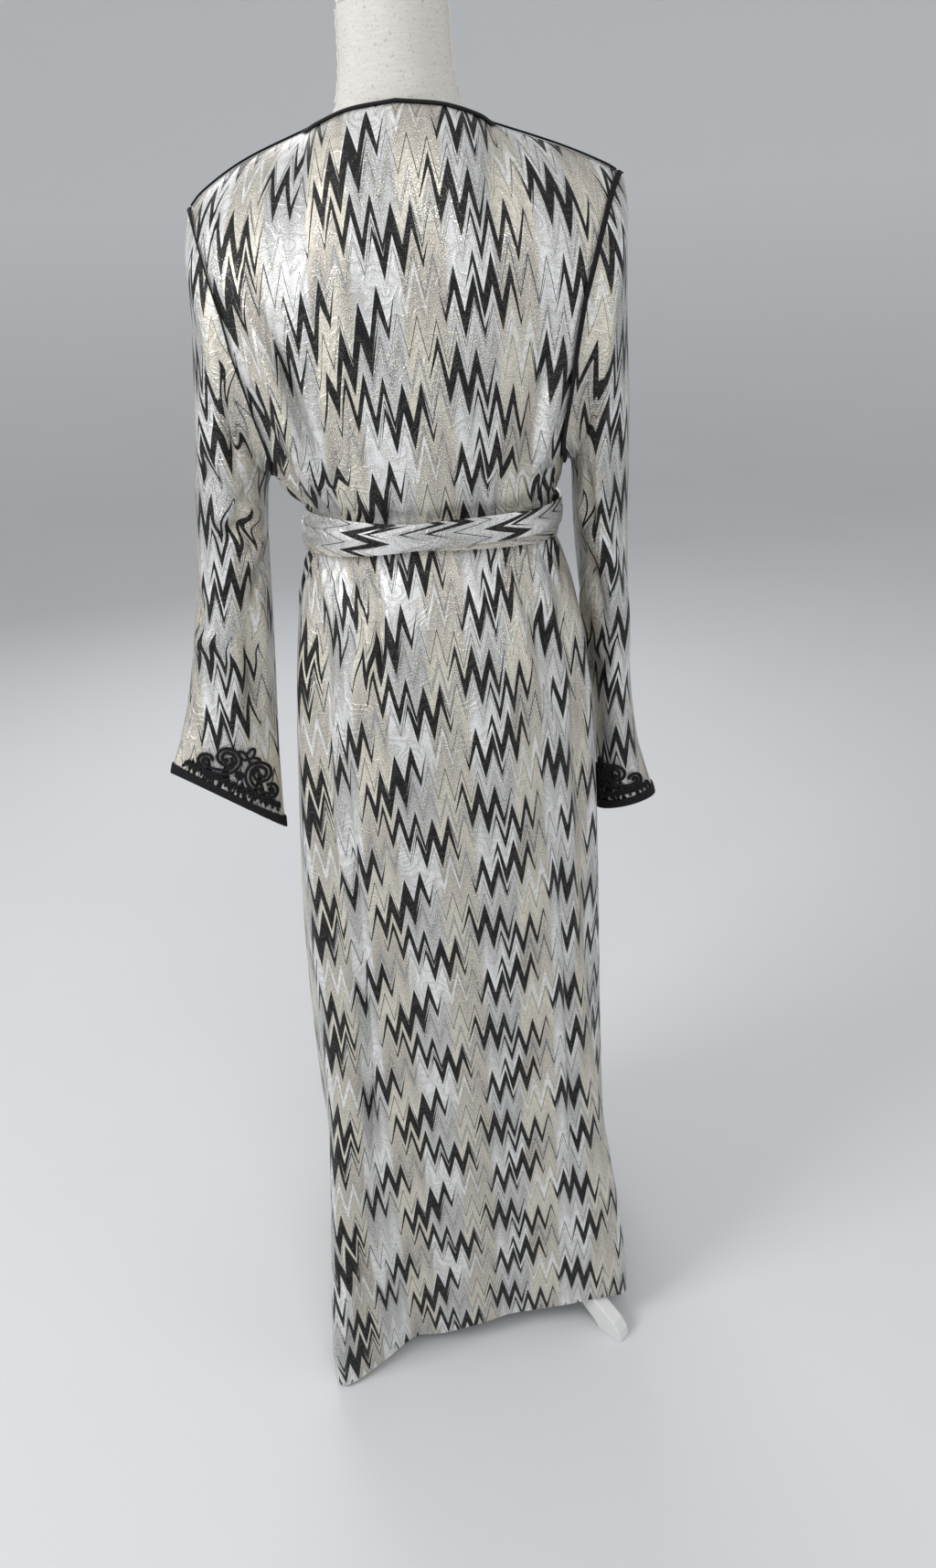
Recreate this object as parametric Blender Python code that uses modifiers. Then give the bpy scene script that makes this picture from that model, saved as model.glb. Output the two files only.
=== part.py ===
"""A Moroccan kaftan on a limbless dress form with a four-legged stand.

Metres, +Z up, the floor at z = 0. The garment's front faces -Y and its back +Y, so the wearer's left is +X.
Every panel of cloth is a sheet of points worked out from the tables below, given its thickness by Solidify.
"""

import math
from bisect import bisect_right
from collections import namedtuple

import bmesh
import bpy
from mathutils import Matrix, Vector
from mathutils.bvhtree import BVHTree

# Cloth
WALL = 0.0016  # the printed satin, with its seam allowance
SEAM = 0.0003  # gap left where two pieces meet
BEND_SEAM = 0.0011  # the same, between their middles, where they meet at an angle
BRAID_THICK = 0.0015  # the black braid laid on the edges
BRAID_WIDTH = 0.010
CORD_WIDTH = 0.006  # the narrower cord on the shoulder and armhole seams
BRAID_INSET = 0.0004  # from a panel's edge to that of the braid on it
LAID = WALL / 2 + 0.0006 + BRAID_THICK / 2  # from a panel's middle to that of the braid on it
CORD_START = CORD_WIDTH + 0.0008  # from the shoulder tip to the shoulder cord, clear of the armhole's
CORD_STOP = 0.0022  # from the shoulder cord to the neck braid

# Belt
BELT_WALL = 0.0020
BELT_WIDTH = 0.026
BELT_CLEAR = 0.0008  # from the cloth to the first turn
TURN_CLEAR = 0.0006  # from the first turn to the second
BELT_TILT = 0.007  # each turn is this much higher at one side, so the two cross at the back
BELT_RISE = 0.010  # and this much higher at the back than at the sides
OVER_BRAID = BRAID_THICK * 1.3  # how much further out it passes over the braids of the front
OVER_BRAID_ANGLE = 22.5  # by this many degrees from the centre front, it's back on the cloth
OVER_BRAID_EASE = 9.0  # and it comes down over this many of them
KNOT_SIZE = (0.034, 0.018, 0.032)
KNOT_ROUND = 0.007
KNOT_FOOT = 0.0205  # from the middle of the belt down to where its two ends come out
END_ROWS = 7
END_SPREAD = 6.0  # degrees round from the middle of a belt end to its edge
END_START = 6.5  # degrees from the centre front to the middle of a belt end, at its top
END_LEAN = 4.0  # how many degrees further round it is at its foot
BELT_ENDS = (("left", 1, 0.30), ("right", -1, 0.27))  # name, side and length

# Heights
UNDERARM = 1.172
BUST = 1.330  # from here up, the panels arch over to the shoulder seams
FRONT_BUST = 1.215  # the same at the centre front, below the V neck
WAIST = 1.118
SKIRT_TOP = 1.084
WAIST_HEIGHTS = (SKIRT_TOP, 1.098, 1.118, 1.134, 1.143, 1.156)  # rows close together under the belt
BELT_MIDDLE = 1.114
BELT_HEIGHTS = (1.092, 1.105, WAIST, 1.131, 1.141)  # where the reach of the cloth under the belt is taken
HEM_FADE = 0.50  # the hem's rise and fall dies out by this height
FLARE_FADE = 0.80  # and so do its corners
FLARE_CURVE = 1.6  # over 1, the corners spread late, near the hem

# The whole part moves by this, so that its origin is the middle of its base
CENTRE_SHIFT = Vector((-0.026, -0.013, 0.0))

# Grid sizes
HALF_COLUMNS = 12  # from a side seam to the centre of the back or front
RIDGE_COLUMNS = 7  # of those, the ones that end on a shoulder seam
SKIRT_ROWS = 11
BODICE_ROWS = 6
ARCH_ROWS = 4
ROW_CURVE = 1.1  # over 1, the skirt's rows lie closer together at the hem
ARCH_START = 0.2  # share of the way to the front's centre where the arch starts to begin lower

Section = namedtuple("Section", "z left right back front power")
Hem = namedtuple("Hem", "angle reach height")
Fold = namedtuple("Fold", "low_angle high_angle z_low z_high depth width")
Armhole = namedtuple("Armhole", "z angle")
Edge = namedtuple("Edge", "share x y z")
Ring = namedtuple("Ring", "outer_x outer_z inner_x inner_z y depth")
Crease = namedtuple("Crease", "z turn depth height width")
Torso = namedtuple("Torso", "z side back front")
Neck = namedtuple("Neck", "z radius_x radius_y y")
Outline = namedtuple("Outline", "reach z")
Spot = namedtuple("Spot", "along up")

# Level sections through the body of the kaftan
BODY = (
    Section(0.00, 0.190, 0.186, 0.172, 0.170, 2.2),
    Section(0.30, 0.195, 0.181, 0.163, 0.160, 2.3),
    Section(0.60, 0.187, 0.182, 0.158, 0.152, 2.4),
    Section(0.80, 0.172, 0.179, 0.152, 0.143, 2.4),
    Section(0.94, 0.158, 0.172, 0.145, 0.136, 2.3),
    Section(1.03, 0.145, 0.160, 0.130, 0.122, 2.2),
    Section(1.075, 0.1310, 0.1470, 0.118, 0.110, 2.1),
    Section(1.095, 0.1250, 0.1390, 0.112, 0.104, 2.1),
    Section(WAIST, 0.1235, 0.1370, 0.110, 0.102, 2.1),
    Section(1.142, 0.1250, 0.1385, 0.111, 0.104, 2.1),
    Section(1.156, 0.1390, 0.1440, 0.118, 0.111, 2.1),
    Section(UNDERARM, 0.155, 0.150, 0.122, 0.117, 2.1),
    Section(1.205, 0.174, 0.169, 0.124, 0.125, 2.2),
    Section(1.250, 0.195, 0.189, 0.124, 0.134, 2.3),
    Section(BUST, 0.220, 0.214, 0.119, 0.128, 2.3),
)

# The hem, by the angle round from the wearer's left: its reach from the middle and its height off the floor
HEM = (
    Hem(0, 0.190, 0.034),
    Hem(25, 0.196, 0.030),
    Hem(38, 0.228, 0.018),
    Hem(45, 0.262, 0.008),
    Hem(53, 0.290, 0.004),
    Hem(59, 0.246, 0.012),
    Hem(64, 0.216, 0.021),
    Hem(72, 0.198, 0.028),
    Hem(82, 0.182, 0.031),
    Hem(95, 0.172, 0.033),
    Hem(108, 0.170, 0.037),
    Hem(122, 0.188, 0.042),
    Hem(134, 0.224, 0.055),
    Hem(141, 0.245, 0.054),
    Hem(147, 0.256, 0.042),
    Hem(156, 0.238, 0.036),
    Hem(170, 0.202, 0.038),
    Hem(185, 0.192, 0.040),
    Hem(205, 0.208, 0.042),
    Hem(219, 0.240, 0.055),
    Hem(229, 0.252, 0.060),
    Hem(239, 0.238, 0.055),
    Hem(252, 0.200, 0.043),
    Hem(270, 0.184, 0.040),
    Hem(290, 0.202, 0.043),
    Hem(309, 0.240, 0.055),
    Hem(319, 0.252, 0.060),
    Hem(329, 0.240, 0.055),
    Hem(343, 0.206, 0.041),
    Hem(360, 0.190, 0.034),
)

# Long soft folds: where each lies at its foot and head, its height range, its depth outwards and its width
FOLDS = (
    Fold(66, 40, 0.00, 1.08, -0.013, 8),
    Fold(55, 27, 0.00, 1.06, 0.008, 10),
    Fold(163, 150, 0.20, 1.09, -0.010, 8),
    Fold(176, 164, 0.10, 1.08, 0.006, 9),
    Fold(78, 74, 0.78, 1.10, 0.006, 7),
    Fold(95, 92, 0.86, 1.10, -0.005, 7),
    Fold(111, 108, 0.80, 1.10, 0.006, 7),
    Fold(134, 127, 0.70, 1.10, -0.006, 8),
    Fold(206, 208, 0.00, 1.08, -0.010, 10),
    Fold(236, 232, 0.10, 1.09, 0.007, 9),
    Fold(252, 246, 0.30, 1.09, -0.007, 8),
    Fold(288, 294, 0.30, 1.09, -0.007, 8),
    Fold(304, 310, 0.10, 1.09, 0.007, 9),
    Fold(334, 333, 0.00, 1.08, -0.010, 10),
    Fold(49, 43, 1.24, 1.38, 0.007, 8),
    Fold(64, 57, 1.24, 1.38, -0.006, 9),
    Fold(122, 136, 1.24, 1.38, -0.006, 9),
    Fold(238, 222, 1.24, 1.34, -0.007, 10),
    Fold(302, 318, 1.24, 1.34, -0.007, 10),
)
FOLD_FADE = 0.11  # height over which a fold dies away at its head and foot

# Where the armhole cuts the body, as an angle from the side seam
ARMHOLE = (
    Armhole(UNDERARM, 0),
    Armhole(1.177, 12),
    Armhole(1.188, 24),
    Armhole(1.209, 33),
    Armhole(1.255, 39),
    Armhole(BUST, 41),
)

# The top edges of the panels, by share of the way from the shoulder tip to the middle
RIDGE = RIDGE_COLUMNS / HALF_COLUMNS
TOP_LEFT = (
    Edge(0.00, 0.208, 0.002, 1.421),
    Edge(0.12, 0.191, 0.001, 1.437),
    Edge(0.34, 0.148, -0.002, 1.461),
    Edge(RIDGE, 0.085, -0.006, 1.484),
)
TOP_RIGHT = (
    Edge(0.00, 0.209, 0.002, 1.432),
    Edge(0.12, 0.192, 0.001, 1.442),
    Edge(0.34, 0.148, -0.002, 1.460),
    Edge(RIDGE, 0.085, -0.006, 1.4809),
)
NECK_BACK = (
    Edge(0.70, 0.073, 0.026, 1.4865),
    Edge(0.85, 0.042, 0.047, 1.4950),
    Edge(1.00, 0.000, 0.053, 1.4995),
)
NECK_FRONT = (
    Edge(0.66, 0.078, -0.040, 1.464),
    Edge(0.76, 0.058, -0.078, 1.418),
    Edge(0.88, 0.030, -0.110, 1.352),
    Edge(1.00, 0.000, -0.125, 1.292),
)

# The sleeves, as rings from the armhole down: outer and inner edge as seen from behind, middle and half depth
SLEEVE_LEFT = (
    Ring(0.2120, 1.398, 0.1600, 1.172, 0.002, 0.080),
    Ring(0.2155, 1.350, 0.1640, 1.165, 0.002, 0.075),
    Ring(0.2225, 1.292, 0.1680, 1.154, 0.000, 0.069),
    Ring(0.2315, 1.226, 0.1710, 1.136, -0.002, 0.063),
    Ring(0.2425, 1.160, 0.1745, 1.108, -0.004, 0.058),
    Ring(0.2525, 1.090, 0.1780, 1.064, -0.006, 0.055),
    Ring(0.2655, 1.020, 0.1820, 1.002, -0.003, 0.051),
    Ring(0.2785, 0.955, 0.1860, 0.934, 0.005, 0.044),
    Ring(0.2900, 0.908, 0.1890, 0.868, 0.021, 0.031),
    Ring(0.2990, 0.878, 0.1900, 0.816, 0.034, 0.023),
    Ring(0.3080, 0.854, 0.1905, 0.777, 0.042, 0.018),
    Ring(0.3115, 0.842, 0.1905, 0.764, 0.045, 0.016),
)
SLEEVE_RIGHT = (
    Ring(0.2120, 1.414, 0.1580, 1.170, 0.002, 0.080),
    Ring(0.2130, 1.360, 0.1600, 1.162, 0.001, 0.075),
    Ring(0.2155, 1.296, 0.1610, 1.150, -0.003, 0.070),
    Ring(0.2190, 1.228, 0.1615, 1.132, -0.008, 0.065),
    Ring(0.2205, 1.158, 0.1630, 1.102, -0.016, 0.061),
    Ring(0.2220, 1.086, 0.1670, 1.056, -0.026, 0.059),
    Ring(0.2245, 1.014, 0.1740, 0.994, -0.036, 0.058),
    Ring(0.2280, 0.942, 0.1820, 0.926, -0.042, 0.056),
    Ring(0.2330, 0.876, 0.1870, 0.860, -0.042, 0.051),
    Ring(0.2420, 0.816, 0.1910, 0.799, -0.038, 0.045),
    Ring(0.2580, 0.761, 0.1935, 0.744, -0.033, 0.039),
    Ring(0.2610, 0.748, 0.1940, 0.731, -0.031, 0.037),
)

CUFF_TILT = 0.012  # how much higher a cuff is at its back than at the middle of its opening
TILT_CURVE = 4  # over 1, the tilt comes on late, near the cuff
SETTLE = 1.6  # how fast the rings' points go from the armhole's spacing to an even one
# Creases of the sleeves. Turn 0 is the outer edge, 90 the back and 180 the inner edge.
CREASES_LEFT = (
    Crease(1.150, 120, -0.008, 0.030, 45),
    Crease(1.060, 160, -0.008, 0.022, 50),
    Crease(0.980, 60, -0.006, 0.030, 40),
)
CREASES_RIGHT = (
    Crease(1.150, 130, -0.008, 0.030, 45),
    Crease(1.020, 40, -0.006, 0.025, 45),
    Crease(0.940, 110, -0.005, 0.028, 40),
)

# The black embroidery above a cuff, on its back, measured along the cuff from its middle and up from its edge
EMBROIDERY_CLEAR = WALL / 2 + 0.0007
MOTIF_SHIFT = {"left": 0.0, "right": -0.026}  # the embroidery's middle, from the back's middle towards -X
FACE_SPAN = 0.03  # how far to each side of a cuff's middle its direction is taken
FACE_RING = 3  # and to which ring, counted up from the cuff, that of the sleeve's columns
SCALLOPS = 11
SCALLOP_STEPS = 3
SCALLOP_END = 0.058
SCALLOP_BASE = 0.0165
SCALLOP_RISE = 0.0032
SCALLOP_RADIUS = 0.0013
SCROLL_RADIUS = 0.0020
SCROLL = (
    Spot(0.0190, 0.0465),
    Spot(0.0160, 0.0425),
    Spot(0.0200, 0.0390),
    Spot(0.0265, 0.0410),
    Spot(0.0285, 0.0475),
    Spot(0.0235, 0.0540),
    Spot(0.0140, 0.0540),
    Spot(0.0077, 0.0475),
    Spot(0.0085, 0.0375),
    Spot(0.0140, 0.0300),
    Spot(0.0235, 0.0255),
    Spot(0.0360, 0.0237),
    Spot(0.0450, 0.0280),
    Spot(0.0445, 0.0345),
    Spot(0.0385, 0.0370),
    Spot(0.0345, 0.0335),
)
FLOWER_MIDDLE = 0.0550
FLOWER_RADIUS = 0.0015
PETAL_ROOT = 0.0040
PETAL_REACH = 0.0110
PETAL_ANGLE = 68
PETAL_WIDTH = 24
SIDE_PETAL = 0.8  # size of a side petal beside the top one's
PETAL_STEP = 15
DOT_UP = 0.0325
DOT_RADIUS = 0.0055
DOT_FLAT = 0.4  # its thickness beside its width

# The dress form under the cloth
FORM_Y = 0.004
FORM_POWER = 2.1
FORM_ROWS = 4
FORM = (
    Torso(0.800, 0.132, 0.104, 0.094),
    Torso(0.830, 0.145, 0.114, 0.103),
    Torso(0.900, 0.148, 0.118, 0.104),
    Torso(0.980, 0.134, 0.110, 0.098),
    Torso(1.060, 0.113, 0.093, 0.086),
    Torso(WAIST, 0.104, 0.084, 0.080),
    Torso(1.170, 0.112, 0.088, 0.090),
    Torso(1.240, 0.132, 0.094, 0.104),
    Torso(BUST, 0.150, 0.088, 0.092),
)
FORM_BACK_TOP = (
    Edge(0.00, 0.160, 0.000, 1.4375),
    Edge(0.34, 0.122, -0.003, 1.4590),
    Edge(RIDGE, 0.072, -0.003, 1.4825),
    Edge(0.80, 0.046, 0.036, 1.4880),
    Edge(1.00, 0.000, 0.048, 1.4860),
)
FORM_FRONT_TOP = (
    Edge(0.00, 0.160, 0.000, 1.4375),
    Edge(0.34, 0.122, -0.003, 1.4590),
    Edge(RIDGE, 0.072, -0.003, 1.4825),
    Edge(0.80, 0.046, -0.044, 1.4700),
    Edge(1.00, 0.000, -0.056, 1.4600),
)
NECK = (
    Neck(1.505, 0.0575, 0.0500, -0.003),
    Neck(1.525, 0.0530, 0.0480, -0.003),
    Neck(1.550, 0.0510, 0.0485, -0.003),
    Neck(1.580, 0.0505, 0.0505, -0.003),
)
CAP_HEIGHT = 0.022

# The stand
POLE_RADIUS = 0.014
HUB_RADIUS = 0.032
HUB_LOW = 0.150
HUB_TOP = 0.235
LEG_THICK = 0.020
LEG_EDGE = 0.0015  # width of the leg's eased edges
RIM_EDGE = 0.003  # the same on the hub and the neck's cap
LEGS = (("back_left", 51), ("back_right", 140), ("front_right", 230), ("front_left", 320))
LEG_HEAD = (0.212, 0.160)
LEG_UPPER = (
    Outline(0.085, 0.200),
    Outline(0.140, 0.150),
    Outline(0.185, 0.092),
    Outline(0.222, 0.056),
    Outline(0.246, 0.040),
    Outline(0.262, 0.028),
    Outline(0.271, 0.014),
    Outline(0.274, 0.000),
)
LEG_LOWER = (
    Outline(0.238, 0.000),
    Outline(0.228, 0.014),
    Outline(0.205, 0.034),
    Outline(0.168, 0.070),
    Outline(0.126, 0.118),
    Outline(0.080, 0.152),
)

COLOURS = {
    "cloth": ((0.62, 0.61, 0.57), 0.45),
    "braid": ((0.012, 0.012, 0.013), 0.80),
    "linen": ((0.70, 0.68, 0.63), 0.85),
    "paint": ((0.80, 0.80, 0.80), 0.40),
}


# Reading the tables
def eased(share):
    share = min(max(share, 0.0), 1.0)
    return share * share * (3 - 2 * share)


def read(table, key, column, at):
    """The value of a column at a place along the key column, on a smooth curve through the rows."""
    keys = [getattr(row, key) for row in table]
    values = [getattr(row, column) for row in table]
    if at <= keys[0]:
        return values[0]
    if at >= keys[-1]:
        return values[-1]
    i = bisect_right(keys, at) - 1
    gap = keys[i + 1] - keys[i]
    share = (at - keys[i]) / gap

    def slope(k):
        low, high = max(k - 1, 0), min(k + 1, len(keys) - 1)
        return (values[high] - values[low]) / (keys[high] - keys[low]) * gap

    square = share * share
    cube = square * share
    return (
        (2 * cube - 3 * square + 1) * values[i]
        + (cube - 2 * square + share) * slope(i)
        + (3 * square - 2 * cube) * values[i + 1]
        + (cube - square) * slope(i + 1)
    )


def signed_power(value, power):
    return math.copysign(abs(value) ** power, value)


def towards(start, end, distance):
    """The point that lies a distance from the start on the way to the end."""
    return start + (end - start).normalized() * distance


# Sheets of points
def sheet_normals(rows, wraps=False):
    """The normal at each point of a sheet, from its neighbours along the row and up the column."""
    height, width = len(rows), len(rows[0])
    normals = []
    for i in range(height):
        line = []
        for j in range(width):
            before, after = (j - 1, (j + 1) % width) if wraps else (max(j - 1, 0), min(j + 1, width - 1))
            across = rows[i][after] - rows[i][before]
            up = rows[min(i + 1, height - 1)][j] - rows[max(i - 1, 0)][j]
            line.append(across.cross(up).normalized())
        normals.append(line)
    return normals


def moved_out(points, normals, distance):
    return [p + n * distance for p, n in zip(points, normals)]


def triangles(rows, wraps=False):
    """Each four points of a sheet as two triangles, split along the shorter diagonal. A point is (row, column)."""
    width = len(rows[0])
    made = []
    for i in range(len(rows) - 1):
        for j in range(width if wraps else width - 1):
            k = (j + 1) % width
            a, b, c, d = (i, j), (i, k), (i + 1, k), (i + 1, j)
            if (rows[i][j] - rows[i + 1][k]).length < (rows[i][k] - rows[i + 1][j]).length:
                made += [(a, b, c), (a, c, d)]
            else:
                made += [(a, b, d), (b, c, d)]
    return made


def surface(rows):
    """A panel's faces, to look up the nearest place on them."""
    width = len(rows[0])
    points = [point for row in rows for point in row]
    return BVHTree.FromPolygons(points, [[i * width + j for i, j in face] for face in triangles(rows)])


def over(surfaces, point, clear):
    """The nearest place on the surfaces, moved out of them by a clearance."""
    found = [tree.find_nearest(point) for tree in surfaces]
    closest = min(found, key=lambda hit: hit[3])
    beside = [hit[1] for hit in found if hit[3] < closest[3] + SEAM * 2]
    return closest[0] + sum(beside, Vector()).normalized() * clear


def doubled(points, closed=False):
    """The points with one more halfway along each gap."""
    following = points[1:] + (points[:1] if closed else [])
    made = [place for pair in zip(points, following) for place in (pair[0], (pair[0] + pair[1]) / 2)]
    return made if closed else made + points[-1:]


# Making objects
def new_object(name, mesh, finish):
    thing = bpy.data.objects.new(name, mesh)
    PARTS.objects.link(thing)
    colour, roughness = COLOURS[finish]
    material = bpy.data.materials.new(name)
    material.use_nodes = True
    shader = material.node_tree.nodes["Principled BSDF"]
    shader.inputs["Base Color"].default_value = (*colour, 1)
    shader.inputs["Roughness"].default_value = roughness
    material.diffuse_color = (*colour, 1)
    mesh.materials.append(material)
    return thing


def mesh_object(name, made, finish):
    bmesh.ops.recalc_face_normals(made, faces=made.faces)
    bmesh.ops.translate(made, verts=made.verts, vec=CENTRE_SHIFT)
    mesh = bpy.data.meshes.new(name)
    made.to_mesh(mesh)
    made.free()
    mesh.shade_smooth()
    mesh.set_sharp_from_angle(angle=math.radians(40))
    return new_object(name, mesh, finish)


def add_grid(made, rows, wraps=False):
    """Adds the faces of a sheet of points."""
    grid = [[made.verts.new(p) for p in row] for row in rows]
    for face in triangles(rows, wraps):
        made.faces.new([grid[i][j] for i, j in face])


def cloth(name, rows, thickness, finish, wraps=False):
    """A sheet of points made a wall, half of its thickness to each side."""
    made = bmesh.new()
    add_grid(made, rows, wraps)
    thing = mesh_object(name, made, finish)
    solid = thing.modifiers.new("Wall", "SOLIDIFY")
    solid.thickness = thickness
    solid.offset = 0
    return thing


def tube(name, points, radius, finish, closed=False, round_sides=1):
    """A cord through the points, with 4 sides and 2 more for each of round_sides."""
    curve = bpy.data.curves.new(name, "CURVE")
    curve.dimensions = "3D"
    curve.bevel_depth = radius
    curve.bevel_resolution = round_sides
    curve.use_fill_caps = True
    line = curve.splines.new("POLY")
    line.points.add(len(points) - 1)
    for spot, point in zip(line.points, points):
        spot.co = (*(point + CENTRE_SHIFT), 1)
    line.use_cyclic_u = closed
    return new_object(name, curve, finish)


# The body of the kaftan
def fold_depth(angle, z):
    """How far the folds push the cloth outwards at an angle and height."""
    total = 0.0
    for fold in FOLDS:
        if not fold.z_low - FOLD_FADE < z < fold.z_high:
            continue
        height = min(max((z - fold.z_low) / (fold.z_high - fold.z_low), 0.0), 1.0)
        middle = fold.low_angle + (fold.high_angle - fold.low_angle) * height
        away = (angle - middle + 180) % 360 - 180
        head = eased((fold.z_high - z) / FOLD_FADE)
        foot = 1.0 if fold.z_low <= 0 else eased((z - fold.z_low + FOLD_FADE) / FOLD_FADE)
        total += fold.depth * head * foot * math.exp(-((away / fold.width) ** 2))
    return total


def body_point(angle, z):
    """A point of the cloth's middle sheet. Angle 0 is the wearer's left, and 90 the back."""
    turn = math.radians(angle)
    c, s = math.cos(turn), math.sin(turn)
    power = 2 / read(BODY, "z", "power", z)
    side = read(BODY, "z", "left" if c > 0 else "right", z)
    depth = read(BODY, "z", "back" if s > 0 else "front", z)
    level = Vector((side * signed_power(c, power), depth * signed_power(s, power), z))
    reach = read(HEM, "angle", "reach", angle % 360)
    level = level.lerp(Vector((reach * c, reach * s, z)), eased(1 - z / FLARE_FADE) ** FLARE_CURVE)
    outwards = Vector((level.x, level.y, 0)).normalized()
    return level + outwards * fold_depth(angle, z)


def column_heights(bust):
    """The heights of a column's level points, from the hem to where it starts to arch over."""
    skirt = [SKIRT_TOP * (row / SKIRT_ROWS) ** ROW_CURVE for row in range(SKIRT_ROWS)]
    bodice = [UNDERARM + (bust - UNDERARM) * (row / BODICE_ROWS) ** 2 for row in range(BODICE_ROWS + 1)]
    return skirt + list(WAIST_HEIGHTS) + bodice


def arch(base, top, rows):
    """Evenly spaced points on the quarter ellipse from a base point up and over to a top point."""
    fine = 48
    turns = [math.pi / 2 * k / fine for k in range(fine + 1)]
    curve = [
        (top.y + (base.y - top.y) * math.cos(turn), base.z + (top.z - base.z) * math.sin(turn))
        for turn in turns
    ]
    lengths = [0.0]
    for one, two in zip(curve, curve[1:]):
        lengths.append(lengths[-1] + math.dist(one, two))
    points = []
    for row in range(1, rows + 1):
        along = lengths[-1] * row / rows
        k = min(bisect_right(lengths, along), fine) - 1
        part = (along - lengths[k]) / (lengths[k + 1] - lengths[k])
        y, z = (a + (b - a) * part for a, b in zip(curve[k], curve[k + 1]))
        points.append(Vector((base.x + (top.x - base.x) * row / rows, y, z)))
    return points


def edge_point(table, share, left):
    x = read(table, "share", "x", share)
    y = read(table, "share", "y", share)
    return Vector((x if left else -x, y, read(table, "share", "z", share)))


def top_point(share, left, neck):
    """A point of the top edge: up to RIDGE it is on a shoulder seam, and past it on the neckline."""
    ridge = TOP_LEFT if left else TOP_RIGHT
    return edge_point(ridge if share <= RIDGE else ridge[-1:] + neck, share, left)


def half_body(side, centre, neck, centre_bust):
    """The columns of one half of the back or front, from its side seam to its centre."""
    left = side in (0, 360)
    way = 1 if centre > side else -1
    columns = []
    for column in range(HALF_COLUMNS + 1):
        share = column / HALF_COLUMNS
        bust = BUST + (centre_bust - BUST) * eased((share - ARCH_START) / (1 - ARCH_START))
        points = []
        for z in column_heights(bust):
            edge = read(ARMHOLE, "z", "angle", z)
            angle = side + way * (edge + (90 - edge) * share)
            lift = read(HEM, "angle", "height", angle % 360) * max(1 - z / HEM_FADE, 0.0)
            points.append(body_point(angle, z + lift))
        columns.append(points + arch(points[-1], top_point(share, left, neck), ARCH_ROWS))
    return columns


def as_rows(columns):
    return [list(row) for row in zip(*columns)]


def parted(rows):
    """A copy of a panel, drawn in a little at both sides and along its top."""
    made = [row[:] for row in rows]
    for row, old in zip(made, rows):
        row[0] = towards(old[0], old[1], SEAM)
        row[-1] = towards(old[-1], old[-2], SEAM)
    made[-1] = [towards(top, below, BEND_SEAM / 2) for top, below in zip(made[-1], made[-2])]
    return made


def edge_strip(name, rows, path, width, fine, trims=(0.0, 0.0)):
    """A braid on a panel. Its path is pairs of grid places: one on the panel's edge, and one inwards of it.

    The first gaps of the path, as many as fine says, are split in four.
    """
    edge = [rows[i][j].copy() for (i, j), _ in path]
    edge = [towards(point, rows[k][m], BRAID_INSET) for point, (_, (k, m)) in zip(edge, path)]
    edge[0] = towards(edge[0], edge[1], trims[0])
    edge[-1] = towards(edge[-1], edge[-2], trims[1])
    inside = [towards(point, rows[k][m] + point - rows[i][j], width) for point, ((i, j), (k, m)) in zip(edge, path)]
    tree = [surface(rows)]
    lines = []
    for line in (edge, inside):
        line = doubled(doubled(line[: fine + 1])) + line[fine + 1 :]
        lines.append([over(tree, point, LAID) for point in line])
    return cloth(name, lines, BRAID_THICK, "braid")


# The sleeves
def armhole_loop(back, front, back_normals, front_normals, column_back, column_front):
    """The points and normals round an armhole: from the shoulder tip down the back, then up the front."""
    low = len(back) - 1 - BODICE_ROWS - ARCH_ROWS
    down = range(len(back) - 1, low - 1, -1)
    points = [back[i][column_back].copy() for i in down]
    normals = [back_normals[i][column_back] for i in down]
    for i in range(low + 1, len(front) - 1):
        points.append(front[i][column_front].copy())
        normals.append(front_normals[i][column_front])
    for shared, row in ((0, -1), (len(down) - 1, low)):
        normals[shared] = (back_normals[row][column_back] + front_normals[row][column_front]).normalized()
    return points, normals


def loop_outwards(points, normals):
    """For each point of an armhole, the way over the cloth that leads out of the body's panels."""
    count = len(points)
    ways = []
    for k in range(count):
        tangent = points[(k + 1) % count] - points[k - 1]
        ways.append(tangent.cross(normals[k]).normalized())
    if ways[0].x * points[0].x < 0:
        ways = [-way for way in ways]
    return ways


def sleeve_rows(loop, ways, rings, creases, left):
    """The rows of a sleeve, from the armhole to the cuff."""
    rows = [[p + way * BEND_SEAM for p, way in zip(loop, ways)]]
    low = min(p.z for p in loop)
    top = max(p.z for p in loop)
    turns = []
    for k, point in enumerate(loop):
        turn = math.acos(2 * (point.z - low) / (top - low) - 1)
        turns.append(turn if k <= len(loop) / 2 else -turn)
    for index, ring in enumerate(rings):
        share = (index + 1) / len(rings)
        settle = min(share * SETTLE, 1.0)
        row = []
        for k, turn in enumerate(turns):
            even = 2 * math.pi * k / len(turns)
            even = even if even <= math.pi else even - 2 * math.pi
            angle = turn + (even - turn) * settle
            c, s = math.cos(angle), math.sin(angle)
            middle = Vector(((ring.outer_x + ring.inner_x) / 2, ring.y, (ring.outer_z + ring.inner_z) / 2))
            half = Vector(((ring.outer_x - ring.inner_x) / 2, 0, (ring.outer_z - ring.inner_z) / 2))
            radius = half * c + Vector((0, ring.depth * s, CUFF_TILT * share**TILT_CURVE * s))
            place = middle + radius
            for crease in creases:
                up = (place.z - crease.z) / crease.height
                round_ = ((math.degrees(angle) - crease.turn + 180) % 360 - 180) / crease.width
                place += radius.normalized() * crease.depth * math.exp(-(up * up) - round_ * round_)
            row.append(Vector((place.x if left else -place.x, place.y, place.z)))
        rows.append(row)
    return rows


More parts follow.
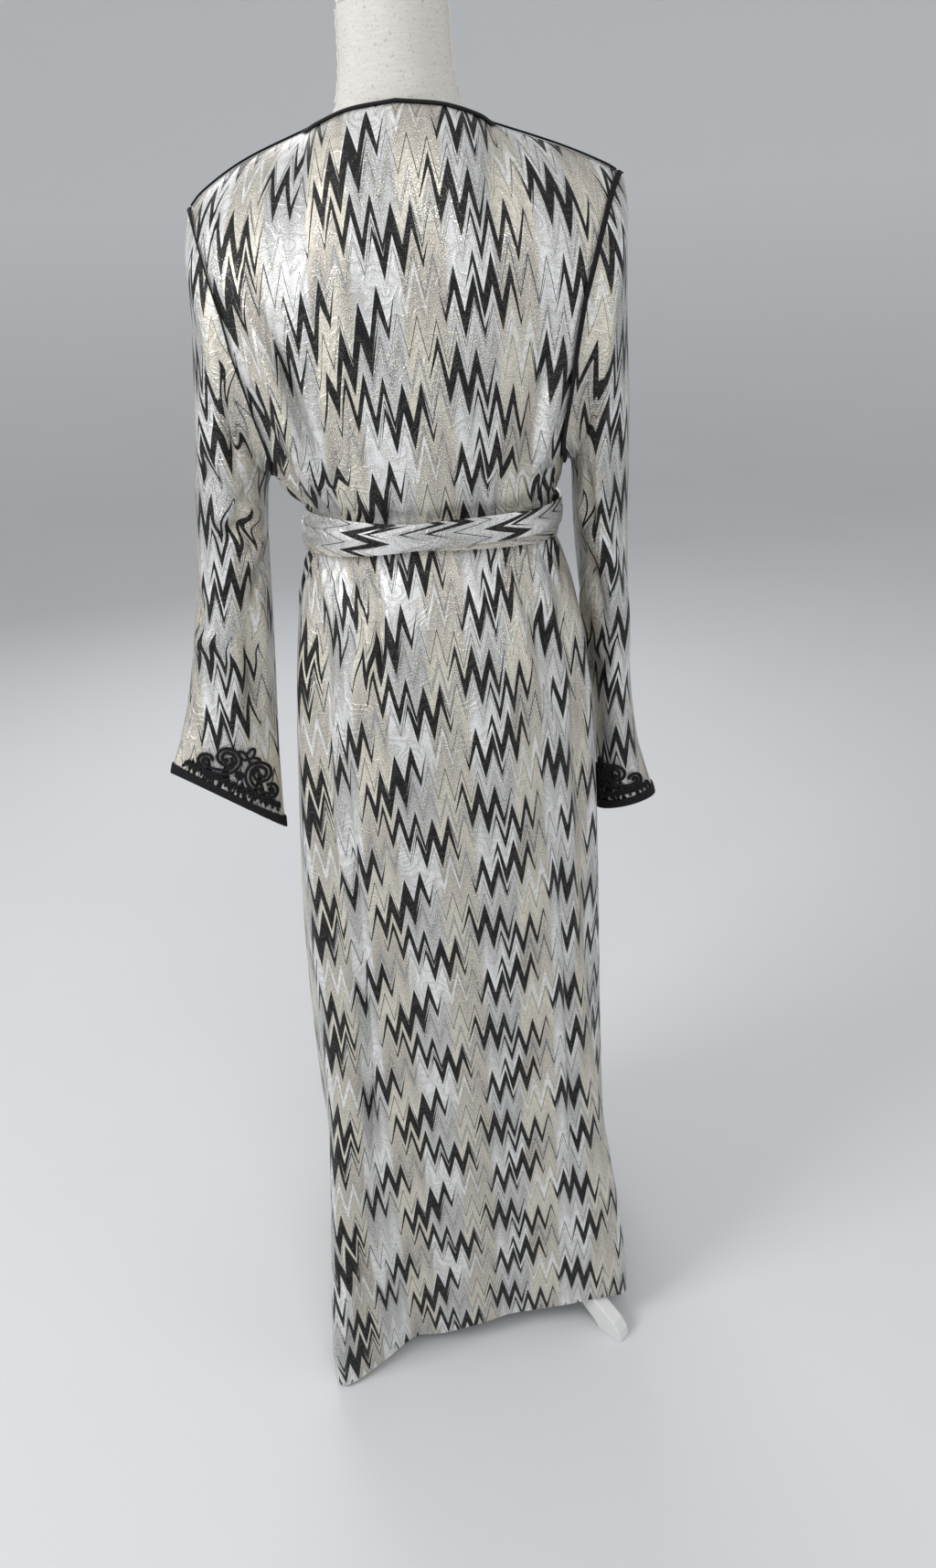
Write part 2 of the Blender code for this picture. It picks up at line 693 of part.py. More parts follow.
class SleeveFace:
    """The outside of a sleeve near its cuff, measured along the cuff from the back's middle and up from its edge."""

    def __init__(self, rows, normals, left):
        self.rows = rows[::-1]
        self.normals = normals[::-1]
        self.way = 1 if left else -1
        cuff = self.ring_place(0, FACE_SPAN)[0] - self.ring_place(0, -FACE_SPAN)[0]
        rise = self.ring_place(FACE_RING, 0)[0] - self.ring_place(0, 0)[0]
        self.lean = rise.normalized().dot(cuff.normalized())

    def ring_place(self, ring, along):
        """The point and normal at a distance along one ring."""
        points, normals = self.rows[ring], self.normals[ring]
        count = len(points)
        k = count // 4
        left = abs(along)
        step = self.way if along > 0 else -self.way
        while True:
            gap = (points[(k + step) % count] - points[k % count]).length
            if left <= gap:
                share = left / gap
                near, far = k % count, (k + step) % count
                return points[near].lerp(points[far], share), normals[near].lerp(normals[far], share)
            left -= gap
            k += step

    def place(self, along, up, clear):
        """A point over the cloth, this far along and up, and clear of the sheet's middle by the distance given.

        The sleeve's columns lean along the cuff, so the way straight up from it crosses them.
        """
        up /= math.sqrt(1 - self.lean**2)
        along -= up * self.lean
        low, normal = self.ring_place(0, along)
        for ring in range(1, len(self.rows)):
            high, high_normal = self.ring_place(ring, along)
            gap = (high - low).length
            if up <= gap:
                share = up / gap
                return low.lerp(high, share) + normal.lerp(high_normal, share).normalized() * clear
            up -= gap
            low, normal = high, high_normal
        return low


def smooth_line(spots, steps):
    """Points on a smooth curve through the spots."""
    table = [Edge(k, *spot, 0) for k, spot in enumerate(spots)]
    places = [k / steps for k in range((len(spots) - 1) * steps + 1)]
    return [(read(table, "share", "x", place), read(table, "share", "y", place)) for place in places]


def add_embroidery(side, face):
    """The scallops, the two scrolls, the flower and the dot on the back of a cuff."""

    middle = MOTIF_SHIFT[side]

    def stitched(name, spots, radius, closed=False, round_sides=0):
        points = [face.place(middle + along, up, EMBROIDERY_CLEAR + radius) for along, up in spots]
        tube(f"cuff_{name}_{side}", points, radius, "braid", closed, round_sides)

    wave = []
    steps = SCALLOP_STEPS * SCALLOPS
    for k in range(steps + 1):
        share = k / steps
        rise = abs(math.sin(math.pi * SCALLOPS * share))
        wave.append((SCALLOP_END * (2 * share - 1), SCALLOP_BASE + SCALLOP_RISE * rise))
    stitched("scallops", wave, SCALLOP_RADIUS)
    for name, way in (("outer", 1), ("inner", -1)):
        line = smooth_line(SCROLL, 2)
        stitched(f"scroll_{name}", [(way * along, up) for along, up in line], SCROLL_RADIUS, round_sides=1)
    petals = []
    for angle in range(-180, 180, PETAL_STEP):
        lobes = math.exp(-((angle / PETAL_WIDTH) ** 2))
        lobes += SIDE_PETAL * math.exp(-(((abs(angle) - PETAL_ANGLE) / PETAL_WIDTH) ** 2))
        size = PETAL_ROOT + PETAL_REACH * lobes
        turn = math.radians(angle)
        petals.append((size * math.sin(turn), FLOWER_MIDDLE + size * math.cos(turn)))
    stitched("flower", petals, FLOWER_RADIUS, True)
    made = bmesh.new()
    bmesh.ops.create_uvsphere(made, u_segments=10, v_segments=5, radius=DOT_RADIUS)
    bmesh.ops.scale(made, verts=made.verts, vec=(1, 1, DOT_FLAT))
    under = face.place(middle, DOT_UP, 0)
    spot = face.place(middle, DOT_UP, EMBROIDERY_CLEAR + DOT_RADIUS * DOT_FLAT)
    turn = Vector((0, 0, 1)).rotation_difference(spot - under).to_matrix().to_4x4()
    bmesh.ops.transform(made, matrix=Matrix.Translation(spot) @ turn, verts=made.verts)
    mesh_object(f"cuff_dot_{side}", made, "braid")


# The belt
def waist_reach(angle):
    """The furthest that the cloth under the belt lies from the middle, at an angle."""
    return max(body_point(angle, z).xy.length for z in BELT_HEIGHTS)


def over_front_braid(angle):
    """How much further out the belt lies where it passes over the braids of the front."""
    return OVER_BRAID * eased((OVER_BRAID_ANGLE - abs(angle - 270)) / OVER_BRAID_EASE)


def belt_point(angle, z, distance):
    turn = math.radians(angle)
    reach = waist_reach(angle) + distance + over_front_braid(angle)
    return Vector((reach * math.cos(turn), reach * math.sin(turn), z))


def add_belt():
    first = WALL / 2 + BELT_WALL / 2 + BELT_CLEAR
    second = first + BELT_WALL + TURN_CLEAR
    for name, distance, tilt in (("first", first, BELT_TILT), ("second", second, -BELT_TILT)):
        rows = []
        for edge in (-BELT_WIDTH / 2, BELT_WIDTH / 2):
            row = []
            for column in range(4 * HALF_COLUMNS):
                angle = 90 * column / HALF_COLUMNS
                turn = math.radians(angle)
                z = BELT_MIDDLE + tilt * math.cos(turn) + BELT_RISE * max(math.sin(turn), 0) + edge
                row.append(belt_point(angle, z, distance))
            rows.append(row)
        cloth(f"belt_{name}_turn", rows, BELT_WALL, "cloth", True)
    back = belt_point(270, WAIST, second + BELT_WALL / 2 + SEAM).y
    made = bmesh.new()
    bmesh.ops.create_cube(made, size=1)
    bmesh.ops.scale(made, verts=made.verts, vec=KNOT_SIZE)
    bmesh.ops.translate(made, verts=made.verts, vec=(0, back - KNOT_SIZE[1] / 2, BELT_MIDDLE))
    knot = mesh_object("belt_knot", made, "cloth")
    round_off = knot.modifiers.new("Round", "BEVEL")
    round_off.width = KNOT_ROUND
    round_off.segments = 3
    for name, way, length in BELT_ENDS:
        rows = []
        for row in range(END_ROWS + 1):
            share = row / END_ROWS
            z = BELT_MIDDLE - KNOT_FOOT - length * share
            middle = 270 + way * (END_START + END_LEAN * share)
            line = []
            for side in (-1, 1):
                point = body_point(middle + side * END_SPREAD, z)
                out = Vector((point.x, point.y, 0)).normalized()
                line.append(point + out * (LAID + BRAID_THICK + BELT_WALL))
            rows.append(line)
        cloth(f"belt_end_{name}", rows, BELT_WALL, "cloth")


# The dress form
def form_half(centre, table):
    """The columns of half of the form, from its right side round to its left over the back or front."""
    columns = []
    for column in range(2 * HALF_COLUMNS + 1):
        share = column / HALF_COLUMNS
        left = share > 1
        share = 2 - share if left else share
        turn = math.radians(180 + (centre - 180) * share if not left else centre + (centre - 180) * (1 - share))
        c, s = math.cos(turn), math.sin(turn)
        points = []
        for row in FORM:
            depth = row.back if s > 0 else row.front
            x, y = (signed_power(v, 2 / FORM_POWER) for v in (c, s))
            points.append(Vector((row.side * x, FORM_Y + depth * y, row.z)))
        columns.append(points + arch(points[-1], edge_point(table, share, left), FORM_ROWS))
    return columns


def add_form():
    made = bmesh.new()
    halves = [as_rows(form_half(centre, table)) for centre, table in ((90, FORM_BACK_TOP), (270, FORM_FRONT_TOP))]
    for rows in halves:
        add_grid(made, rows)
    neck_columns = range(RIDGE_COLUMNS, 2 * HALF_COLUMNS - RIDGE_COLUMNS + 1)
    base = [halves[0][-1][j] for j in neck_columns] + [halves[1][-1][j] for j in list(neck_columns)[-2:0:-1]]
    rings = [base]
    for row in NECK:
        ring = []
        for point in base:
            turn = math.atan2(point.y - row.y, point.x)
            ring.append(Vector((row.radius_x * math.cos(turn), row.y + row.radius_y * math.sin(turn), row.z)))
        rings.append(ring)
    add_grid(made, rings, True)
    bmesh.ops.remove_doubles(made, verts=made.verts, dist=0.00001)
    bmesh.ops.holes_fill(made, edges=[edge for edge in made.edges if edge.is_boundary], sides=0)
    mesh_object("dress_form", made, "linen")
    add_cylinder("neck_cap", NECK[-1].radius_x, NECK[-1].z + SEAM, NECK[-1].z + SEAM + CAP_HEIGHT, NECK[-1].y)


def add_cylinder(name, radius, low, high, y=FORM_Y, bevel=RIM_EDGE):
    made = bmesh.new()
    bmesh.ops.create_cone(
        made, cap_ends=True, segments=24, radius1=radius, radius2=radius, depth=high - low
    )
    bmesh.ops.translate(made, verts=made.verts, vec=(0, y, (low + high) / 2))
    thing = mesh_object(name, made, "paint")
    if bevel:
        rim = thing.modifiers.new("Rim", "BEVEL")
        rim.width = bevel
        rim.segments = 1
    return thing


def add_stand():
    low = HUB_TOP + SEAM
    add_cylinder("pole", POLE_RADIUS, low, FORM[0].z - SEAM, bevel=0)
    add_cylinder("hub", HUB_RADIUS, HUB_LOW, HUB_TOP)
    head = HUB_RADIUS + SEAM
    outline = [(head, LEG_HEAD[0])] + list(LEG_UPPER) + list(LEG_LOWER) + [(head, LEG_HEAD[1])]
    for name, angle in LEGS:
        made = bmesh.new()
        near, far = ([made.verts.new((reach, y, z)) for reach, z in outline] for y in (-LEG_THICK / 2, LEG_THICK / 2))
        made.faces.new(near)
        made.faces.new(far[::-1])
        for k in range(len(outline)):
            made.faces.new((near[k - 1], far[k - 1], far[k], near[k]))
        turn = Matrix.Rotation(math.radians(angle), 4, "Z")
        bmesh.ops.transform(made, matrix=Matrix.Translation((0, FORM_Y, 0)) @ turn, verts=made.verts)
        leg = mesh_object(f"leg_{name}", made, "paint")
        edge = leg.modifiers.new("Edge", "BEVEL")
        edge.width = LEG_EDGE
        edge.segments = 1
        edge.limit_method = "ANGLE"
        edge.angle_limit = math.radians(60)


def add_kaftan():
    back = as_rows(half_body(0, 90, NECK_BACK, BUST) + half_body(180, 90, NECK_BACK, BUST)[-2::-1])
    right = as_rows(half_body(180, 270, NECK_FRONT, FRONT_BUST))
    left = as_rows(half_body(360, 270, NECK_FRONT, FRONT_BUST)[::-1])
    normals = {}
    panels = {}
    for name, rows in (("back", back), ("front_right", right), ("front_left", left)):
        panels[name] = parted(rows)
        normals[name] = sheet_normals(rows)
        cloth(name, panels[name], WALL, "cloth")

    neck = range(RIDGE_COLUMNS, 2 * HALF_COLUMNS - RIDGE_COLUMNS + 1)
    top = len(back) - 1
    path = [((top, j), (top - 1, j)) for j in neck]
    edge_strip("neck_braid", panels["back"], path, BRAID_WIDTH, len(path))
    for name, last, step in (("front_left", 0, 1), ("front_right", HALF_COLUMNS, -1)):
        corner = last + step * (HALF_COLUMNS - RIDGE_COLUMNS)
        path = [((top, j), (top - 1, j)) for j in range(corner, last, -step)]
        path.append(((top, last), (top - 1, last + step)))
        path += [((i, last), (i, last + step)) for i in range(top - 1, -1, -1)]
        edge_strip(f"{name}_braid", panels[name], path, BRAID_WIDTH, HALF_COLUMNS - RIDGE_COLUMNS)
    for side, tip, step in (("left", 0, 1), ("right", 2 * HALF_COLUMNS, -1)):
        path = [((top, tip + step * j), (top - 1, tip + step * j)) for j in range(RIDGE_COLUMNS + 1)]
        edge_strip(f"shoulder_cord_{side}", panels["back"], path, CORD_WIDTH, len(path), (CORD_START, CORD_STOP))

    for side, front, back_column, front_column, rings, creases in (
        ("left", "front_left", 0, HALF_COLUMNS, SLEEVE_LEFT, CREASES_LEFT),
        ("right", "front_right", 2 * HALF_COLUMNS, 0, SLEEVE_RIGHT, CREASES_RIGHT),
    ):
        front_rows = left if side == "left" else right
        loop, loop_normals = armhole_loop(
            back, front_rows, normals["back"], normals[front], back_column, front_column
        )
        ways = loop_outwards(loop, loop_normals)
        rows = sleeve_rows(loop, ways, rings, creases, side == "left")
        cloth(f"sleeve_{side}", rows, WALL, "cloth", True)
        trees = [surface(panels["back"]), surface(panels[front])]
        lines = []
        for inwards in (SEAM, CORD_WIDTH):
            line = doubled([p - way * inwards for p, way in zip(loop, ways)], True)
            lines.append([over(trees, point, LAID + BRAID_INSET) for point in line])
        cloth(f"armhole_cord_{side}", lines, BRAID_THICK, "braid", True)
        rows_normals = sheet_normals(rows, True)
        middle = sum(rows[-1], Vector()) / len(rows[-1])
        if rows_normals[-1][0].dot(rows[-1][0] - middle) < 0:
            rows_normals = [[-n for n in line] for line in rows_normals]
        band = [moved_out(rows[k], rows_normals[k], LAID) for k in (-2, -1)]
        cloth(f"cuff_band_{side}", band, BRAID_THICK, "braid", True)
        add_embroidery(side, SleeveFace(rows, rows_normals, side == "left"))


for thing in list(bpy.data.objects):
    bpy.data.objects.remove(thing)
PARTS = bpy.data.collections.new("moroccan_kaftan")
bpy.context.scene.collection.children.link(PARTS)
add_kaftan()
add_belt()
add_form()
add_stand()
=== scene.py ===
# %% [markdown]
# # A Moroccan kaftan on its dress form, seen from the back
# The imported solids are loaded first. They keep every size and place, and what is made below is fitted to
# them.

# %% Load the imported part
import math
import random
from bisect import bisect_right
from collections import namedtuple

import bmesh
import bpy
from mathutils import Matrix, Vector
from mathutils.bvhtree import BVHTree


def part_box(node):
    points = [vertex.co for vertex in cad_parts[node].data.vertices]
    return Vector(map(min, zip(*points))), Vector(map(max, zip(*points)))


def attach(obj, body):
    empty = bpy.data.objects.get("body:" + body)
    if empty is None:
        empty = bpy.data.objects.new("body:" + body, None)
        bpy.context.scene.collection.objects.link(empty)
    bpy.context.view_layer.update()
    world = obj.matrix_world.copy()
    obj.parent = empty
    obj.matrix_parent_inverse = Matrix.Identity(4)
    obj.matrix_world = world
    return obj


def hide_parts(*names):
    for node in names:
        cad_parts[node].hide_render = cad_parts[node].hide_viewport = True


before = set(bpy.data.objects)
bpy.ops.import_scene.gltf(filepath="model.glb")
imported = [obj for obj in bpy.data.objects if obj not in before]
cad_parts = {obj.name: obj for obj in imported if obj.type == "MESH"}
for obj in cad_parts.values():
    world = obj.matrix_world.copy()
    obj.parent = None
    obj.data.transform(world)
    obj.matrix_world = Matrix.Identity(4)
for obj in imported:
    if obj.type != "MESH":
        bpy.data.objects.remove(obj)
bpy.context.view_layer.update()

# %% [markdown]
# ## The camera
# A phone held at shoulder height looks down at the back of the garment. Its place and turn were worked
# out from points whose positions are known: the neck, the shoulders, the belt, the cuffs and the hem.

# %% Place the camera
CAMERA_PLACE = Vector((-0.0751, 1.2168, 1.4191))
CAMERA_PITCH = 0.47526  # radians below level
CAMERA_ROLL = 0.05441
CAMERA_YAW = -0.01513
CAMERA_LENS = 26.03  # mm, on a picture 36 mm high


def camera_turn():
    """The camera's axes as a matrix: its right, its up, and the way back from what it looks at."""
    level = Vector((-math.cos(CAMERA_YAW), math.sin(CAMERA_YAW), 0))
    ahead = Vector((-math.sin(CAMERA_YAW), -math.cos(CAMERA_YAW), 0))
    forward = ahead * math.cos(CAMERA_PITCH) - Vector((0, 0, math.sin(CAMERA_PITCH)))
    above = ahead * math.sin(CAMERA_PITCH) + Vector((0, 0, math.cos(CAMERA_PITCH)))
    right = level * math.cos(CAMERA_ROLL) - above * math.sin(CAMERA_ROLL)
    up = level * math.sin(CAMERA_ROLL) + above * math.cos(CAMERA_ROLL)
    return Matrix((right, up, -forward)).transposed().to_4x4()


bpy.ops.object.select_all(action="DESELECT")
bpy.ops.object.camera_add()
camera = bpy.context.object
camera.name = "camera"
camera.data.lens = CAMERA_LENS
camera.matrix_world = Matrix.Translation(CAMERA_PLACE) @ camera_turn()
bpy.context.scene.camera = camera
print("camera at", tuple(CAMERA_PLACE))

# %% [markdown]
# ## The light
# Soft light shows a metallic cloth best: wide lamps above and behind the camera give long gentle
# highlights, and a pale sky fills the shadows.

# %% Hang the lamps
SKY = ((0.89, 0.90, 0.92, 1), 0.58)
LAMPS = (  # name, place, what it points at, width and power
    ("key", (1.9, 1.1, 2.2), (-0.05, 0.1, 1.15), 1.0, 36),
    ("top", (-0.5, 1.7, 2.6), (-0.05, 0.1, 1.25), 0.9, 13),
    ("fill", (-2.3, 1.2, 1.3), (-0.05, 0.0, 0.8), 1.2, 7),
    ("front", (0.6, -2.4, 2.2), (0, 0, 0.9), 1.6, 26),
)


def add_lamp(name, place, aim, width, power):
    bpy.ops.object.light_add(type="AREA", location=place)
    lamp = bpy.context.object
    lamp.name = f"{name}_lamp"
    lamp.data.size = width
    lamp.data.energy = power
    lamp.rotation_euler = (Vector(aim) - Vector(place)).to_track_quat("-Z", "Y").to_euler()


for lamp in LAMPS:
    add_lamp(*lamp)
world = bpy.data.worlds.new("studio")
world.use_nodes = True
bpy.context.scene.world = world
world.node_tree.nodes["Background"].inputs[0].default_value = SKY[0]
world.node_tree.nodes["Background"].inputs[1].default_value = SKY[1]
bpy.context.scene.view_settings.view_transform = "Standard"
print("lamps:", len(LAMPS))

# %% [markdown]
# ## Sums with shader sockets
# A finish is a sum worked out at every point of a surface. A socket wrapped in a small class can stand in
# a Python expression, and the expression adds the Math nodes. This keeps a long rule, such as that of a
# printed pattern, readable.


# %% A number in a shader
class Wire:
    """A number or colour on its way through a finish."""

    def __init__(self, finish, socket):
        self.finish, self.socket = finish, socket

    def __add__(self, other):
        return self.finish.maths("ADD", self, other)

    def __radd__(self, other):
        return self.finish.maths("ADD", other, self)

    def __sub__(self, other):
        return self.finish.maths("SUBTRACT", self, other)

    def __rsub__(self, other):
        return self.finish.maths("SUBTRACT", other, self)

    def __mul__(self, other):
        return self.finish.maths("MULTIPLY", self, other)

    def __rmul__(self, other):
        return self.finish.maths("MULTIPLY", other, self)


# %% A material and the nodes in it
class Finish:
    """A material, with one method that adds any node and a few short ones for those used most."""

    def __init__(self, name):
        self.material = bpy.data.materials.new(name)
        self.material.use_nodes = True
        self.tree = self.material.node_tree
        self.shader = self.tree.nodes["Principled BSDF"]

    def feed(self, socket, value):
        if isinstance(value, Wire):
            self.tree.links.new(value.socket, socket)
        else:
            socket.default_value = value

    def node(self, kind, settings, sockets, output=0):
        made = self.tree.nodes.new(kind)
        for name, value in settings.items():
            setattr(made, name, value)
        for key, value in sockets.items():
            self.feed(made.inputs[key], value)
        if isinstance(output, int):
            return Wire(self, made.outputs[output])
        return [Wire(self, made.outputs[key]) for key in output]

    def maths(self, operation, *values):
        return self.node("ShaderNodeMath", {"operation": operation}, dict(enumerate(values)))

    def held(self, value):
        """The value, kept between 0 and 1."""
        return self.node("ShaderNodeClamp", {}, {0: value})

    def pingpong(self, value, half):
        """Up from 0 to half and down again, over and over."""
        return self.maths("PINGPONG", value, half)

    def swing(self, value, length, start):
        """A wave from -1 to 1 of this length."""
        return self.maths("SINE", value * (math.tau / length) + start)

    def noise(self, place, scale, detail=2.0, rough=0.5):
        sockets = {"Vector": place, "Scale": scale, "Detail": detail, "Roughness": rough}
        return self.node("ShaderNodeTexNoise", {}, sockets)

    def tint(self, share, one, two):
        """A colour part of the way from one to the other."""
        one = one if isinstance(one, Wire) else (*one, 1)
        two = two if isinstance(two, Wire) else (*two, 1)
        return self.node("ShaderNodeMix", {"data_type": "RGBA"}, {0: share, 6: one, 7: two}, 2)

    def relief(self, height, depth):
        return self.node("ShaderNodeBump", {}, {"Height": height, "Distance": depth, "Strength": 1.0})

    def finished(self, **sockets):
        for name, value in sockets.items():
            self.feed(self.shader.inputs[name.replace("_", " ").title()], value)
        return self.material


def object_place(finish):
    return finish.node("ShaderNodeTexCoord", {}, {}, 3)


print("finishes are ready to make")

# %% [markdown]
# ## The printed cloth
# The kaftan is cut from a silky jacquard: a metallic thread draws scrolls over the whole cloth, and a
# flame-stitch zigzag is printed on top. Flame stitch is an old pattern of tall zigzags in steps of shade.
# The rule below is a generic one: subtracting a zigzag from the height on the cloth gives a number that
# is the same all along one zigzag line, so stripes of that number are zigzags. Each stroke swells and
# thins as it goes across.

# %% The pattern's sizes
CLOTH_MAP = "cloth"
ZIGZAG = 0.0176  # from peak to peak
ZIGZAG_HEIGHT = 0.037
REPEAT = 0.151  # after this height the strokes come again
FIELD = 0.086  # one silver and one cream field, side by side
FIELD_EDGE = 5  # how sharply one gives way to the other
GLOW_WAVE = 0.215  # the fields brighten and darken along lines that wander like this
GLOW_DRIFT = 0.022
SHARP = 1 / 0.0016  # a stroke's edge is this soft

Stroke = namedtuple("Stroke", "rise drift wave start thin thick swell swell_start colour")
INK = (0.007, 0.007, 0.008)
STROKES = (
    Stroke(0.118, 0.014, 0.172, 1.2, -0.004, 0.015, 0.129, 2.4, (0.86, 0.87, 0.89)),
    Stroke(0.022, 0.016, 0.215, 0.4, -0.003, 0.012, 0.086, 0.2, (0.22, 0.23, 0.25)),
    Stroke(0.060, 0.010, 0.129, 3.0, -0.004, 0.013, 0.172, 1.0, (0.30, 0.29, 0.28)),
    Stroke(0.092, 0.018, 0.172, 5.2, -0.001, 0.006, 0.107, 4.0, (0.10, 0.10, 0.11)),
    Stroke(0.136, 0.012, 0.258, 2.2, -0.002, 0.007, 0.129, 0.7, (0.16, 0.15, 0.15)),
    Stroke(0.004, 0.017, 0.172, 1.5, -0.010, 0.028, 0.086, 1.9, INK),
    Stroke(0.040, 0.014, 0.258, 4.1, -0.016, 0.020, 0.129, 3.6, INK),
    Stroke(0.074, 0.016, 0.172, 2.6, -0.012, 0.028, 0.107, 5.0, INK),
    Stroke(0.112, 0.014, 0.215, 0.6, -0.018, 0.024, 0.086, 4.0, INK),
    Stroke(0.022, 0.010, 0.172, 0.9, 0.0012, 0.0035, 0.129, 2.0, INK),
    Stroke(0.094, 0.010, 0.258, 3.4, 0.0010, 0.0035, 0.107, 0.4, INK),
)


# %% Print the zigzags
def zigzag_print(finish, across, up):
    """The print's colour, and how black it is."""
    zigzag = finish.pingpong(across, ZIGZAG / 2) * (2 * ZIGZAG_HEIGHT / ZIGZAG)
    line = up - zigzag
    wander = finish.swing(across, GLOW_WAVE, 0.9) * GLOW_DRIFT
    glow = finish.pingpong(line + wander, REPEAT / 2) * (2 / REPEAT)
    silver = finish.tint(glow, (0.90, 0.91, 0.93), (0.34, 0.35, 0.37))
    cream = finish.tint(glow, (0.36, 0.32, 0.28), (0.76, 0.71, 0.58))
    side = finish.held(finish.swing(across, FIELD, 0.3) * FIELD_EDGE + 0.2)
    colour = finish.tint(side, silver, cream)
    black = None
    for stroke in STROKES:
        middle = finish.swing(across, stroke.wave, stroke.start) * stroke.drift + stroke.rise
        away = finish.pingpong(line - middle, REPEAT / 2)
        spread = (stroke.thick - stroke.thin) / 4
        mean = (stroke.thick + stroke.thin) / 4
        half = finish.swing(across, stroke.swell, stroke.swell_start) * spread + mean
        mask = finish.held((half - away) * SHARP + 0.5)
        colour = finish.tint(mask, colour, stroke.colour)
        if stroke.colour is INK:
            black = mask if black is None else finish.maths("MAXIMUM", black, mask)
    return colour, black


# %% Weave the scrolls of metallic thread
SCROLL_SIZE = 30.0  # scrolls in a metre
RING_SIZE = 39.0  # the rings that bend them
SCROLL_LINES = 5.0
SCROLL_FROM = 0.42  # how much of the ground between the lines is left plain
SCROLL_EDGE = 4
THREAD_SIZE = 950.0
GLINT_THREAD = 0.52  # threads above this get a painted glint
SHADED_THREAD = 0.48  # and those below this get painted shade
THREAD_EDGE = 7


def metallic_scrolls(finish, place):
    """Lines of metallic thread that curl in scrolls, the threads painted with a glint, and those painted
    with shade.
    """
    drift = finish.noise(place, SCROLL_SIZE, 1.0)
    sockets = {"Vector": place, "Scale": RING_SIZE}
    rings = finish.node("ShaderNodeTexVoronoi", {"feature": "SMOOTH_F1"}, sockets)
    curl = finish.pingpong(drift * SCROLL_LINES + rings * SCROLL_LINES, 0.5) * 2
    lines = finish.held((curl - SCROLL_FROM) * SCROLL_EDGE)
    threads = finish.noise(place, THREAD_SIZE, 0.0)
    glint = finish.held((threads - GLINT_THREAD) * THREAD_EDGE)
    shaded_specks = finish.held((SHADED_THREAD - threads) * THREAD_EDGE)
    return lines, glint, shaded_specks


def printed_cloth(name):
    finish = Finish(name)
    place = finish.node("ShaderNodeUVMap", {"uv_map": CLOTH_MAP}, {})
    across, up = finish.node("ShaderNodeSeparateXYZ", {}, {0: place}, (0, 1))
    colour, black = zigzag_print(finish, across, up)
    lines, glint, shaded_specks = metallic_scrolls(finish, place)
    spark = lines * glint
    worn = finish.noise(place, 9.0, 3.0)
    pale = 1 - black
    colour = finish.tint(lines * pale * 0.30, colour, (0.20, 0.19, 0.17))
    colour = finish.tint(worn * pale * 0.2, colour, (0.62, 0.62, 0.62))
    # Painted shade: dark specks of the glitter, the grains that catch no light.
    colour = finish.tint(shaded_specks * pale * 0.34, colour, (0.22, 0.20, 0.17))
    # Painted highlights: glints of the metallic thread, brighter where they lie on the scroll lines.
    colour = finish.tint(glint * (pale * 0.45 + 0.03), colour, (1.0, 0.98, 0.90))
    colour = finish.tint(spark * (pale * 0.75 + 0.08), colour, (1.0, 0.97, 0.86))
    normal = finish.relief(lines + glint * 0.5, 0.00030)
    finish.shader.inputs["Specular IOR Level"].default_value = 0.3
    return finish.finished(
        base_color=colour,
        metallic=0.40 + spark * 0.45,
        roughness=0.44 - spark * 0.16,
        normal=normal,
    )


CLOTH = printed_cloth("kaftan_cloth")
print("strokes in the print:", len(STROKES))

# %% [markdown]
# ## Braid, linen and paint
# The braid is matt black thread, the form's cover is off-white linen with darker flecks, and the stand is
# wood under satin white paint. Each has a fine pattern of its own, in metres.


# %% Black braid
def black_braid(name):
    finish = Finish(name)
    place = object_place(finish)
    plait = finish.noise(place, 1100.0, 1.0)
    wear = finish.noise(place, 60.0, 2.0)
    colour = finish.tint(finish.held(plait * 1.6 - 0.5), (0.006, 0.006, 0.007), (0.034, 0.034, 0.037))
    colour = finish.tint(wear * 0.3, colour, (0.022, 0.021, 0.022))
    finish.shader.inputs["Specular IOR Level"].default_value = 0.15
    normal = finish.relief(plait, 0.0004)
    return finish.finished(base_color=colour, roughness=0.78 + plait * 0.2, normal=normal)


BRAID = black_braid("black_braid")


# %% Flecked linen
def flecked_linen(name):
    finish = Finish(name)
    place = object_place(finish)
    x, y, z = finish.node("ShaderNodeSeparateXYZ", {}, {0: place}, (0, 1, 2))
    weft = finish.pingpong(z, 0.00045) * 2200
    warp = finish.pingpong(x + y, 0.0005) * 2000
    slub = finish.node("ShaderNodeMapping", {}, {0: place, "Scale": (1.0, 1.0, 9.0)})
    slubs = finish.noise(slub, 70.0, 3.0)
    flecks = finish.held((finish.noise(place, 420.0, 2.0) - 0.61) * 14)
    colour = finish.tint(slubs, (0.60, 0.58, 0.53), (0.80, 0.78, 0.74))
    colour = finish.tint(flecks * 0.55, colour, (0.40, 0.35, 0.29))
    height = finish.maths("MAXIMUM", weft, warp) + slubs
    normal = finish.relief(height, 0.00018)
    return finish.finished(base_color=colour, roughness=0.86, normal=normal)


LINEN = flecked_linen("flecked_linen")


# %% White paint
def white_paint(name):
    finish = Finish(name)
    place = object_place(finish)
    long = finish.node("ShaderNodeMapping", {}, {0: place, "Scale": (1.0, 1.0, 0.12)})
    grain = finish.noise(long, 160.0, 3.0)
    dust = finish.noise(place, 14.0, 3.0)
    colour = finish.tint(finish.held(dust * 1.4 - 0.4), (0.80, 0.80, 0.79), (0.70, 0.69, 0.67))
    normal = finish.relief(grain, 0.00006)
    return finish.finished(base_color=colour, roughness=0.30 + dust * 0.16, normal=normal)


PAINT = white_paint("white_paint")
for name in ("hub", "leg_back_left", "leg_back_right", "leg_front_left", "leg_front_right", "pole"):
    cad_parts[name].material_slots[0].material = PAINT
print("finishes:", [each.name for each in (CLOTH, BRAID, LINEN, PAINT)])

# %% [markdown]
# ## The floor
# The garment's own surroundings are left out, so a plain pale floor carries the shadow. Far off it bends
# up into a wall, as a studio's does, so that no edge shows behind the piece.

